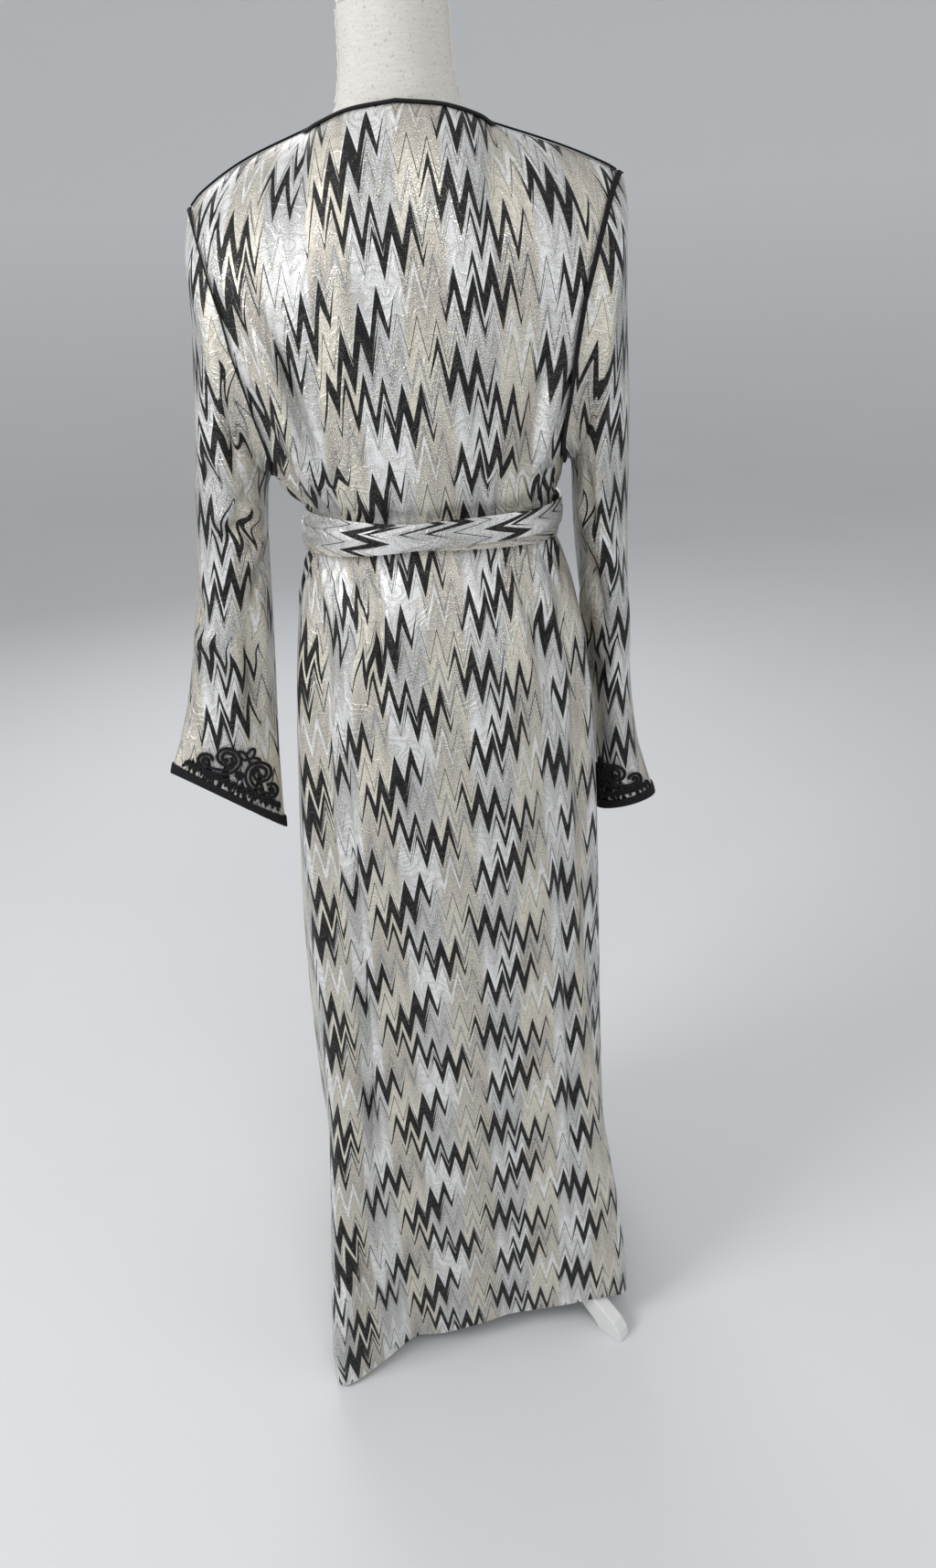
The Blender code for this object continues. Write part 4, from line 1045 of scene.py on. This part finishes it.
def between(rows, steps):
    """More rows on smooth curves through the rows."""
    made = []
    for i in range(len(rows) - 1):
        before, one, two, after = (rows[min(max(i + k, 0), len(rows) - 1)] for k in (-1, 0, 1, 2))
        for step in range(steps):
            t = step / steps
            weights = (-t + 2 * t**2 - t**3, 2 - 5 * t**2 + 3 * t**3, t + 4 * t**2 - 3 * t**3, t**3 - t**2)
            row = []
            for four in zip(before, one, two, after):
                row.append(sum((p * w for p, w in zip(four, weights)), Vector()) / 2)
            made.append(row)
    return made + [rows[-1]]


def outward_normals(rows, column):
    """A tube's normals, all pointing out of it. The column is where that is tested."""
    normals = sheet_normals(rows, True)
    centre = sum(rows[-1], Vector()) / len(rows[-1])
    if normals[-1][column].dot(rows[-1][column] - centre) < 0:
        return [[-n for n in line] for line in normals]
    return normals


# %% Make the sleeves
HEAD_ROWS = 3 * ROWS_BETWEEN  # the rows near the armhole that slant
sleeves, sleeve_normals, armholes = {}, {}, {}
for side, front_rows, back_column, front_column, rings in (
    ("left", left_rows, 0, HALF_COLUMNS, SLEEVE_LEFT),
    ("right", right_rows, 2 * HALF_COLUMNS, 0, SLEEVE_RIGHT),
):
    front_normals = panel_normals[f"front_{side}"]
    loop, loop_normals = armhole_loop(
        back_rows, front_rows, panel_normals["back"], front_normals, back_column, front_column
    )
    ways = loop_outwards(loop, loop_normals)
    armholes[side] = (loop, ways)
    rows = between(ring_rows(loop, ways, rings, side == "left"), ROWS_BETWEEN)
    count = len(loop)
    start = count // 2
    rows = [row[start:] + row[:start] for row in rows]
    middle = (count // 4 - start) % count
    # The table of creases counts towards the body below zero, and the columns here run the other way.
    creases = mirrored(SLEEVE_CREASES[side])
    rows = creased(rows, lay_flat(rows, middle, True), outward_normals(rows, middle), creases)
    sleeves[side] = rows
    sleeve_normals[side] = outward_normals(rows, middle)
    flat = hang_flat(rows, count - start, HEAD_ROWS)
    sleeve = sheet_object(f"sleeve_{side}_cloth", rows, flat, WALL, CLOTH, True)
    placed(sleeve, "cloth", f"sleeve_{side}")
    panel_objects[f"sleeve_{side}"] = sleeve
    print("sleeve", side, "widest, longest, area:", cloth_size(rows, True))

# %% [markdown]
# ## Braids and cords
# Black braid binds the neckline and the front edges, and a narrower one lies on the shoulder and armhole
# seams. A braid is a narrow strip that follows the cloth under it, raised in the middle and thin at its
# sides.

# %% Strips that follow the cloth
BRAID_THICK = 0.0015
BRAID_WIDTH = 0.010
CORD_WIDTH = 0.006
ARMHOLE_CORD = {"left": 0.0034, "right": 0.0050}  # narrower than on the shoulders
TUCKED_CORD = 0.0013  # what shows of the left cord at the back: on the real one, the cloth rolls over it
TUCK_FROM, TUCK_TO = 0.10, 0.90  # the stretch where it is tucked, as shares of the way down the back
TUCK_EASE = 0.15
BRAID_INSET = 0.0004
LAID = WALL / 2 + 0.0006 + BRAID_THICK / 2
CORD_START = CORD_WIDTH + 0.0008  # the shoulder cord begins beside the armhole cord
STRIP_LINES = (0.0, 0.12, 0.35, 0.5, 0.65, 0.88, 1.0)
STRIP_CROWN = 0.0006


def surface(rows):
    width = len(rows[0])
    faces = []
    for i in range(len(rows) - 1):
        for j in range(width - 1):
            a = i * width + j
            faces.append((a, a + 1, a + width + 1, a + width))
    return BVHTree.FromPolygons([point for row in rows for point in row], faces)


def over(surfaces, point, clear):
    """The nearest place on the surfaces, moved out of them by a clearance."""
    found = [tree.find_nearest(point) for tree in surfaces]
    closest = min(found, key=lambda hit: hit[3])
    beside = [hit[1] for hit in found if hit[3] < closest[3] + SEAM * 2]
    return closest[0] + sum(beside, Vector()).normalized() * clear


def crown(share):
    """The braid's rise at a share of its width: two plaits with a groove between them."""
    return STRIP_CROWN * abs(math.sin(2 * math.pi * share)) ** 0.6


def strip_object(name, lines, loop=False):
    flat = lay_flat(lines, 0, loop)
    strip = sheet_object(name, lines, flat, BRAID_THICK, BRAID, loop)
    return strip


def edge_strip(name, rows, path, width):
    """A braid on a panel. Its path is pairs of grid places: one on the edge, and one inwards of it."""
    tree = [surface(rows)]
    edge = [towards(rows[i][j], rows[k][m], BRAID_INSET) for (i, j), (k, m) in path]
    lines = [[] for share in STRIP_LINES]
    for n, (point, (_, (k, m))) in enumerate(zip(edge, path)):
        along = (edge[min(n + 1, len(edge) - 1)] - edge[max(n - 1, 0)]).normalized()
        inwards = rows[k][m] - point
        inwards = (inwards - along * inwards.dot(along)).normalized()
        for line, share in zip(lines, STRIP_LINES):
            line.append(over(tree, point + inwards * width * share, LAID + crown(share)))
    return strip_object(name, lines)


# %% Braid on the neckline and the front edges
neck = range(RIDGE_COLUMNS, 2 * HALF_COLUMNS - RIDGE_COLUMNS + 1)
top = len(back_rows) - 1
path = [((top, j), (top - 2, j)) for j in neck]
placed(edge_strip("neck_edge_braid", panels["back"], path, BRAID_WIDTH), "braid", "neck_braid")
for name, last, step in (("front_left", 0, 1), ("front_right", HALF_COLUMNS, -1)):
    corner = last + step * (HALF_COLUMNS - RIDGE_COLUMNS)
    path = [((top, j), (top - 2, j)) for j in range(corner, last, -step)]
    path.append(((top, last), (top - 2, last + 2 * step)))
    path += [((i, last), (i, last + step)) for i in range(top - 1, -1, -1)]
    placed(edge_strip(f"{name}_edge_braid", panels[name], path, BRAID_WIDTH), "braid", f"{name}_braid")


# %% Cord on the shoulder and armhole seams
def cord_width(side, k, count):
    """The cord's width at a point of the armhole. The points run down the back first."""
    if side == "right":
        return ARMHOLE_CORD[side]
    down = 2 * k / count
    tuck = eased((down - TUCK_FROM) / TUCK_EASE) * eased((TUCK_TO - down) / TUCK_EASE)
    return ARMHOLE_CORD[side] + (TUCKED_CORD - ARMHOLE_CORD[side]) * tuck


for side, tip, step in (("left", 0, 1), ("right", 2 * HALF_COLUMNS, -1)):
    first = round(CORD_START / (back_rows[top][tip] - back_rows[top][tip + step]).length)
    path = [((top, tip + step * j), (top - 2, tip + step * j)) for j in range(first, RIDGE_COLUMNS + 1)]
    name = f"shoulder_cord_{side}"
    placed(edge_strip(f"shoulder_seam_cord_{side}", panels["back"], path, CORD_WIDTH), "braid", name)
    loop, ways = armholes[side]
    trees = [surface(panels["back"]), surface(panels[f"front_{side}"])]
    widths = [cord_width(side, k, len(loop)) for k in range(len(loop))]
    lines = []
    for share in STRIP_LINES:
        line = []
        for point, way, width in zip(loop, ways, widths):
            inwards = SEAM + (width - SEAM) * share
            clear = LAID + BRAID_INSET + crown(share) * width / CORD_WIDTH
            line.append(over(trees, point - way * inwards, clear))
        lines.append(line)
    name = f"armhole_cord_{side}"
    placed(strip_object(f"armhole_seam_cord_{side}", lines, True), "braid", name)

# %% [markdown]
# ## Cuffs
# A black band binds each cuff. Above it a thin cord is stitched down in a row of scallops, two facing
# scrolls, a flower of three loops and a dot: a common motif of Moroccan braid work. A cord is a curve
# with a round section.

# %% Bands of the cuffs
BAND_PROFILE = (0.0, 0.0004, 0.0003, 0.0004, 0.0003, 0.0004, 0.0003, 0.0004, 0.0003, 0.0003, 0.0)
for side, rows in sleeves.items():
    lines = []
    for k, rise in zip(range(-len(BAND_PROFILE), 0), BAND_PROFILE):
        lines.append([p + n * (LAID + rise) for p, n in zip(rows[k], sleeve_normals[side][k])])
    placed(strip_object(f"cuff_edge_band_{side}", lines, True), "braid", f"cuff_band_{side}")


# %% Measure along and up from a cuff
FACE_SPAN = 0.03
FACE_ROWS = 3 * ROWS_BETWEEN
EMBROIDERY_CLEAR = WALL / 2 + 0.0006
MOTIF_SHIFT = {"left": 0.0, "right": -0.026}


class SleeveFace:
    """The outside of a sleeve, measured along its cuff from the back's middle and up from its edge."""

    def __init__(self, side, rows, normals):
        self.side = side
        self.middle = MOTIF_SHIFT[side]
        self.rows, self.normals = rows[::-1], normals[::-1]
        self.way = 1 if side == "left" else -1
        cuff = self.ring_place(0, FACE_SPAN)[0] - self.ring_place(0, -FACE_SPAN)[0]
        rise = self.ring_place(FACE_ROWS, 0)[0] - self.ring_place(0, 0)[0]
        self.lean = rise.normalized().dot(cuff.normalized())

    def ring_place(self, ring, along):
        points, normals = self.rows[ring], self.normals[ring]
        count = len(points)
        k = (count // 4 - count // 2) % count
        ahead = abs(along)
        step = self.way if along > 0 else -self.way
        while True:
            gap = (points[(k + step) % count] - points[k % count]).length
            if ahead <= gap:
                share = ahead / gap
                near, far = k % count, (k + step) % count
                return points[near].lerp(points[far], share), normals[near].lerp(normals[far], share)
            ahead -= gap
            k += step

    def place(self, along, up, clear):
        """A point over the cloth. The columns lean along the cuff, so the way straight up crosses them."""
        up /= math.sqrt(1 - self.lean**2)
        along -= up * self.lean
        low, normal = self.ring_place(0, along)
        for ring in range(1, len(self.rows)):
            high, high_normal = self.ring_place(ring, along)
            gap = (high - low).length
            if up <= gap:
                share = up / gap
                return low.lerp(high, share) + normal.lerp(high_normal, share).normalized() * clear
            up -= gap
            low, normal = high, high_normal
        return low


# %% A cord stitched down along lines
def cord_object(name, lines, radius, material):
    """Round cords through lines of points. A line is its points and whether it closes on itself."""
    curve = bpy.data.curves.new(name, "CURVE")
    curve.dimensions = "3D"
    curve.bevel_depth = radius
    curve.bevel_resolution = 2
    curve.use_fill_caps = True
    for points, closed in lines:
        spline = curve.splines.new("POLY")
        spline.points.add(len(points) - 1)
        for spot, point in zip(spline.points, points):
            spot.co = (*(point + CENTRE_SHIFT), 1)
        spline.use_cyclic_u = closed
    thing = bpy.data.objects.new(name, curve)
    bpy.context.scene.collection.objects.link(thing)
    bpy.ops.object.select_all(action="DESELECT")
    bpy.context.view_layer.objects.active = thing
    thing.select_set(True)
    bpy.ops.object.convert(target="MESH")
    thing.data.materials.clear()
    thing.data.materials.append(material)
    thing.data.shade_smooth()
    return thing


# %% The motif's lines
Spot = namedtuple("Spot", "at along up")
SCROLL = [Spot(k, *row) for k, row in enumerate((
    (0.0190, 0.0465), (0.0160, 0.0425), (0.0200, 0.0390), (0.0265, 0.0410), (0.0285, 0.0475),
    (0.0235, 0.0540), (0.0140, 0.0540), (0.0077, 0.0475), (0.0085, 0.0375), (0.0140, 0.0300),
    (0.0235, 0.0255), (0.0360, 0.0237), (0.0450, 0.0280), (0.0445, 0.0345), (0.0385, 0.0370),
    (0.0345, 0.0335),
))]
SCROLL_STEPS = 8
CORD_RADIUS = 0.0019
CORD_APART = 0.0026  # from the middle of the scroll to each of its two cords
THIN_RADIUS = 0.0017
SCALLOPS = 15
SCALLOP_END = 0.060
SCALLOP_BASE = 0.0175
SCALLOP_RISE = 0.0045
SCALLOP_STEPS = 14
BASE_STEPS = 60
RUNGS = 17
RUNG_HEIGHTS = (0.0128, 0.0140, 0.0156)
PETALS = ((0, 0.0070), (68, 0.0062), (-68, 0.0062))  # turn and half length
PETAL_WIDTH = 0.0034
PETAL_START = 0.0012
PETAL_STEPS = 28
FLOWER_MIDDLE = 0.0530
DOT_UP = 0.0325
DOT_RADIUS = 0.0048
DOT_TURNS = 2.5
DOT_STEPS = 60


def beside(spots, distance):
    """A line to the side of a line of spots."""
    made = []
    for k, (x, y) in enumerate(spots):
        ax, ay = spots[max(k - 1, 0)]
        bx, by = spots[min(k + 1, len(spots) - 1)]
        run = math.hypot(bx - ax, by - ay)
        made.append((x - (by - ay) / run * distance, y + (bx - ax) / run * distance))
    return made


def scroll_line(way):
    places = [k / SCROLL_STEPS for k in range((len(SCROLL) - 1) * SCROLL_STEPS + 1)]
    return [(way * read(SCROLL, "at", "along", at), read(SCROLL, "at", "up", at)) for at in places]


def scallop_line():
    steps = SCALLOP_STEPS * SCALLOPS
    line = []
    for k in range(steps + 1):
        share = k / steps
        rise = SCALLOP_RISE * abs(math.sin(math.pi * SCALLOPS * share))
        line.append((SCALLOP_END * (2 * share - 1), SCALLOP_BASE + rise))
    return line


def base_line():
    return [(SCALLOP_END * (2 * k / BASE_STEPS - 1), SCALLOP_BASE) for k in range(BASE_STEPS + 1)]


def petal_line(turn, reach):
    """A long loop that starts at the flower's middle."""
    a = math.radians(turn)
    line = []
    for k in range(PETAL_STEPS):
        t = math.tau * k / PETAL_STEPS
        along, across = PETAL_START + reach * (1 - math.cos(t)), PETAL_WIDTH * math.sin(t)
        up = FLOWER_MIDDLE + along * math.cos(a) - across * math.sin(a)
        line.append((along * math.sin(a) + across * math.cos(a), up))
    return line


def dot_line():
    line = []
    for k in range(DOT_STEPS + 1):
        share = k / DOT_STEPS
        turn = math.tau * DOT_TURNS * share
        line.append((DOT_RADIUS * share * math.sin(turn), DOT_UP + DOT_RADIUS * share * math.cos(turn)))
    return line


# %% Embroider both cuffs
cuff_pieces = {"left": [], "right": []}


def embroider(face, name, lines, radius):
    """Cords on a cuff, through lines of places along it and up from it."""
    stitched = []
    for spots, closed in lines:
        points = [face.place(face.middle + x, y, EMBROIDERY_CLEAR + radius) for x, y in spots]
        stitched.append((points, closed))
    piece = cord_object(f"{name}_{face.side}", stitched, radius, BRAID)
    cuff_pieces[face.side].append(placed(piece, "braid", f"cuff_{name}_{face.side}"))


for side, rows in sleeves.items():
    face = SleeveFace(side, rows, sleeve_normals[side])
    for name, way in (("outer", 1), ("inner", -1)):
        line = scroll_line(way)
        lines = [(beside(line, CORD_APART), False), (beside(line, -CORD_APART), False)]
        embroider(face, f"scroll_{name}", lines, CORD_RADIUS)
    lines = [(scallop_line(), False), (base_line(), False)]
    for k in range(RUNGS):
        along = SCALLOP_END * (2 * k / (RUNGS - 1) - 1)
        lines.append(([(along, up) for up in RUNG_HEIGHTS], False))
    embroider(face, "scallops", lines, THIN_RADIUS)
    embroider(face, "flower", [(petal_line(turn, reach), True) for turn, reach in PETALS], THIN_RADIUS)
    embroider(face, "dot", [(dot_line(), False)], THIN_RADIUS)
print("cuff pieces:", {side: len(pieces) for side, pieces in cuff_pieces.items()})

# %% [markdown]
# ## The belt
# The belt is a long strip of the kaftan's own cloth, folded soft and wound twice. Its print lies on its
# side, because a belt is cut along the cloth. The two turns cross in the middle of the back and meet in a
# plain knot at the front.

# %% Turns of the belt
BELT_WALL = 0.0020
BELT_WIDTH = 0.026
BELT_CLEAR = 0.0008
TURN_CLEAR = 0.0006
BELT_TILT = 0.007
BELT_RISE = 0.010
BELT_MIDDLE = 1.114
BELT_HEIGHTS = (1.092, 1.105, WAIST, 1.131, 1.141)
OVER_BRAID = BRAID_THICK * 1.3
OVER_BRAID_ANGLE = 22.5
OVER_BRAID_EASE = 9.0
BELT_COLUMNS = 240
BELT_ROWS = 12
BELT_PUFF = 0.0016
BELT_SLACK = 0.0012
GROOVE_DEPTH = 0.0008  # a soft fold that wanders along each turn
GROOVE_DRIFT = 0.25  # its drift and its width, as shares of the belt's width
GROOVE_WIDTH = 0.10
BELT_CUT = {"first": 1.060, "second": 1.077}  # places across the print with few black strokes


def waist_reach(angle):
    return max(body_point(angle, z).xy.length for z in BELT_HEIGHTS)


def over_front_braid(angle):
    return OVER_BRAID * eased((OVER_BRAID_ANGLE - abs(angle - 270)) / OVER_BRAID_EASE)


def belt_rows(distance, tilt, phase):
    rows = []
    reaches = [waist_reach(360 * column / BELT_COLUMNS) for column in range(BELT_COLUMNS)]
    for r in range(BELT_ROWS + 1):
        share = r / BELT_ROWS
        row = []
        for column in range(BELT_COLUMNS):
            angle = 360 * column / BELT_COLUMNS
            turn = math.radians(angle)
            z = BELT_MIDDLE + tilt * math.cos(turn) + BELT_RISE * max(math.sin(turn), 0)
            z += BELT_WIDTH * (share - 0.5) + BELT_SLACK * math.sin(3 * turn + phase)
            groove = (share - 0.5 - GROOVE_DRIFT * math.sin(2 * turn + phase)) / GROOVE_WIDTH
            puff = BELT_PUFF * math.sin(math.pi * share) - GROOVE_DEPTH * math.exp(-groove * groove)
            reach = reaches[column] + distance + over_front_braid(angle) + puff
            row.append(Vector((reach * math.cos(turn), reach * math.sin(turn), z)))
        rows.append(row)
    return rows


def cut_at(flat, column):
    """The map of a narrow strip that was cut along the cloth at this place across the print."""
    return [[[column + spot[0], spot[1]] for spot in row] for row in flat]


def on_its_side(flat):
    """The map turned by a quarter, with the middle of the turn's height at zero."""
    return [[[spot[1] - BELT_MIDDLE, spot[0]] for spot in row] for row in flat]


first = WALL / 2 + BELT_WALL / 2 + BELT_CLEAR
second = first + BELT_WALL + TURN_CLEAR + BELT_PUFF
TURNS = (("first", first, BELT_TILT, 0.6), ("second", second, -BELT_TILT, 2.3))
for name, distance, tilt, phase in TURNS:
    rows = belt_rows(distance, tilt, phase)
    flat = cut_at(on_its_side(lay_flat(rows, 0, True)), BELT_CUT[name])
    turn = sheet_object(f"belt_{name}", rows, flat, BELT_WALL, CLOTH, True)
    placed(turn, "cloth", f"belt_{name}_turn")
    print("belt turn", name, cloth_size(rows, True))

# %% Ends of the belt
KNOT_FOOT = 0.0205
END_SPREAD = 6.0
END_START = 6.5
END_LEAN = 4.0
BELT_ENDS = (("left", 1, 0.30), ("right", -1, 0.27))
END_ROWS = 60
END_COLUMNS = 12
END_GATHER = 0.72  # the width at the knot, as a share of the full one
END_RIPPLE = 0.0016

for name, way, length in BELT_ENDS:
    rows = []
    for row in range(END_ROWS + 1):
        share = row / END_ROWS
        z = BELT_MIDDLE - KNOT_FOOT - length * share
        middle = 270 + way * (END_START + END_LEAN * share)
        line = []
        for column in range(END_COLUMNS + 1):
            beside_middle = 2 * column / END_COLUMNS - 1
            spread = END_SPREAD * (END_GATHER + (1 - END_GATHER) * eased(share * 3))
            point = body_point(middle + beside_middle * spread, z)
            out = Vector((point.x, point.y, 0)).normalized()
            ripple = END_RIPPLE * (1 + math.cos(math.tau * beside_middle + 1.5 * share)) * (1 - 0.6 * share)
            line.append(point + out * (LAID + BRAID_THICK + BELT_WALL + ripple))
        rows.append(line)
    flat = cut_at(lay_flat(rows, END_COLUMNS // 2), BELT_CUT["first"])
    end = sheet_object(f"belt_hanging_end_{name}", rows, flat, BELT_WALL, CLOTH)
    placed(end, "cloth", f"belt_end_{name}")
    print("belt end", name, cloth_size(rows))

# %% [markdown]
# ## The knot
# The knot is the strip wrapped once round itself. A cube is rounded off and grooved, so that it reads as
# cloth pulled tight.

# %% Tie the knot
KNOT_SIZE = (0.034, 0.018, 0.032)
KNOT_ROUND = 0.0065
KNOT_PULL = 0.0009  # the depth of the creases where the cloth is pulled
KNOT_WRAP = 0.0008  # and of the grooves between its wraps
knot_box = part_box("belt_knot")
knot_middle = (knot_box[0] + knot_box[1]) / 2
bpy.ops.object.select_all(action="DESELECT")
bpy.ops.mesh.primitive_cube_add(size=1)
knot = bpy.context.object
knot.name = "knot_of_belt"
bpy.ops.object.mode_set(mode="EDIT")
bpy.ops.transform.resize(value=KNOT_SIZE)
bpy.ops.mesh.bevel(offset=KNOT_ROUND, segments=3, affect="EDGES")
bpy.ops.mesh.subdivide(number_cuts=3, smoothness=0.4)
bpy.ops.object.mode_set(mode="OBJECT")
for vertex in knot.data.vertices:
    x, _, z = vertex.co
    pulls = KNOT_PULL * math.cos(x * 900 + 4 * math.sin(z * 120))
    wraps = KNOT_WRAP * (math.cos(z * 700) - 1)
    vertex.co += vertex.co.normalized() * (pulls + wraps) + knot_middle
knot_map = knot.data.uv_layers[0]
knot_map.name = CLOTH_MAP
for place, corner in zip(knot_map.data, knot.data.loops):
    spot = knot.data.vertices[corner.vertex_index].co
    place.uv = (spot.z, spot.x)
knot.data.materials.append(CLOTH)
knot.data.shade_smooth()
placed(knot, "cloth", "belt_knot")
print("knot at", [round(v, 3) for v in knot_middle])

# %% [markdown]
# ## The dress form
# The form is a hard torso in a linen cover that is sewn up both sides of the neck. Its surface comes from
# the same tables as its solid, at a finer spacing, and the seams are thin rolls of linen.

# %% Sections of the form
FORM_Y = 0.004
FORM_POWER = 2.1
FORM_ROWS = 44
FORM_ARCH_ROWS = 16
FORM_COLUMNS = 36
FORM_IN = 0.0008  # the cover lies this much inside the solid, clear of the cloth
Torso = namedtuple("Torso", "z side back front")
FORM = [Torso(*row) for row in (
    (0.800, 0.132, 0.104, 0.094), (0.830, 0.145, 0.114, 0.103), (0.900, 0.148, 0.118, 0.104),
    (0.980, 0.134, 0.110, 0.098), (1.060, 0.113, 0.093, 0.086), (WAIST, 0.104, 0.084, 0.080),
    (1.170, 0.112, 0.088, 0.090), (1.240, 0.132, 0.094, 0.104), (BUST, 0.150, 0.088, 0.092),
)]
FORM_SHOULDER = [Edge(*row) for row in (
    (0.00, 0.160, 0.000, 1.4375), (0.34, 0.122, -0.003, 1.4590), (RIDGE, 0.072, -0.003, 1.4825),
)]
FORM_BACK_TOP = FORM_SHOULDER + [Edge(0.80, 0.046, 0.036, 1.4880), Edge(1.00, 0.000, 0.048, 1.4860)]
FORM_FRONT_TOP = FORM_SHOULDER + [Edge(0.80, 0.046, -0.044, 1.4700), Edge(1.00, 0.000, -0.056, 1.4600)]
Neck = namedtuple("Neck", "z radius_x radius_y")
NECK = [Neck(*row) for row in (
    (1.505, 0.0575, 0.0500), (1.525, 0.0530, 0.0480), (1.550, 0.0510, 0.0485), (1.580, 0.0505, 0.0505),
)]
NECK_Y = -0.003
NECK_ROWS = 20


def form_half(centre, table):
    """The columns of the form's back or front, from its right side to its left."""
    columns = []
    for column in range(2 * FORM_COLUMNS + 1):
        share = column / FORM_COLUMNS
        turn = math.radians(180 + (centre - 180) * share)
        left = share > 1
        share = 2 - share if left else share
        x, y = (signed_power(v, 2 / FORM_POWER) for v in (math.cos(turn), math.sin(turn)))
        points = []
        for row in range(FORM_ROWS + 1):
            z = FORM[0].z + (BUST - FORM[0].z) * row / FORM_ROWS
            side = read(FORM, "z", "side", z) - FORM_IN
            depth = read(FORM, "z", "back" if y > 0 else "front", z) - FORM_IN
            points.append(Vector((side * x, FORM_Y + depth * y, z)))
        top_end = edge_point(table, share, left) - Vector((0, 0, FORM_IN))
        columns.append(points + arch(points[-1], top_end, FORM_ARCH_ROWS))
    return columns


def grid_faces(made, rows, loop=False):
    grid = [[made.verts.new(p + CENTRE_SHIFT) for p in row] for row in rows]
    width = len(rows[0])
    for i in range(len(rows) - 1):
        for j in range(width if loop else width - 1):
            k = (j + 1) % width
            made.faces.new((grid[i][j], grid[i][k], grid[i + 1][k], grid[i + 1][j]))


# %% Make the form
form_mesh = bmesh.new()
halves = [as_rows(form_half(90, FORM_BACK_TOP)), as_rows(form_half(270, FORM_FRONT_TOP))]
for rows in halves:
    grid_faces(form_mesh, rows)
shoulder = round(FORM_COLUMNS * RIDGE)
neck_columns = list(range(shoulder, 2 * FORM_COLUMNS - shoulder + 1))
base = [halves[0][-1][j] for j in neck_columns] + [halves[1][-1][j] for j in neck_columns[-2:0:-1]]
rings = [base]
for row in range(NECK_ROWS + 1):
    z = NECK[0].z + (NECK[-1].z - NECK[0].z) * row / NECK_ROWS
    radius_x, radius_y = read(NECK, "z", "radius_x", z), read(NECK, "z", "radius_y", z)
    ring = []
    for point in base:
        turn = math.atan2(point.y - NECK_Y, point.x)
        ring.append(Vector((radius_x * math.cos(turn), NECK_Y + radius_y * math.sin(turn), z)))
    rings.append(ring)
rings = rings[:1] + between(rings[:2], 5)[1:] + rings[2:]
grid_faces(form_mesh, rings, True)
bmesh.ops.remove_doubles(form_mesh, verts=form_mesh.verts, dist=0.00001)
bmesh.ops.holes_fill(form_mesh, edges=[edge for edge in form_mesh.edges if edge.is_boundary], sides=0)
bmesh.ops.recalc_face_normals(form_mesh, faces=form_mesh.faces)
mesh = bpy.data.meshes.new("form_linen")
form_mesh.to_mesh(mesh)
form_mesh.free()
mesh.shade_smooth()
mesh.set_sharp_from_angle(angle=math.radians(40))
mesh.materials.append(LINEN)
form = bpy.data.objects.new("form_linen", mesh)
bpy.context.scene.collection.objects.link(form)
placed(form, "linen", "dress_form")
print("form faces:", len(mesh.polygons))

# %% Seams and cap of the neck
SEAM_ROLL = 0.0016
SEAM_OUT = 0.0004  # from the cover to the middle of the roll
SEAM_WOBBLE = 0.0005
SEAM_END = 0.002  # below the neck's top
seam_lines = []
for way in (-1, 1):
    points = []
    for row in range(NECK_ROWS + 1):
        z = NECK[0].z + (NECK[-1].z - SEAM_END - NECK[0].z) * row / NECK_ROWS
        out = read(NECK, "z", "radius_x", z) + SEAM_OUT + SEAM_WOBBLE * math.sin(row * 1.9 + way)
        points.append(Vector((way * out, NECK_Y, z)))
    seam_lines.append((points, False))
placed(cord_object("neck_cover_seams", seam_lines, SEAM_ROLL, LINEN), "linen")
CAP_HEIGHT = 0.022
CAP_ROUND = 0.004
cap_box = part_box("neck_cap")
bpy.ops.object.select_all(action="DESELECT")
bpy.ops.mesh.primitive_cylinder_add(vertices=96, radius=NECK[-1].radius_x, depth=CAP_HEIGHT)
cap = bpy.context.object
cap.name = "turned_neck_cap"
bpy.ops.object.mode_set(mode="EDIT")
bpy.ops.transform.translate(value=(cap_box[0] + cap_box[1]) / 2)
bpy.ops.object.mode_set(mode="OBJECT")
apply_modifier(cap, "BEVEL", width=CAP_ROUND, segments=5, limit_method="ANGLE")
cap.data.shade_smooth()
cap.data.set_sharp_from_angle(angle=math.radians(40))
cap.data.materials.append(PAINT)
placed(cap, "paint", "neck_cap")
print("neck from", NECK[0].z, "to", NECK[-1].z)
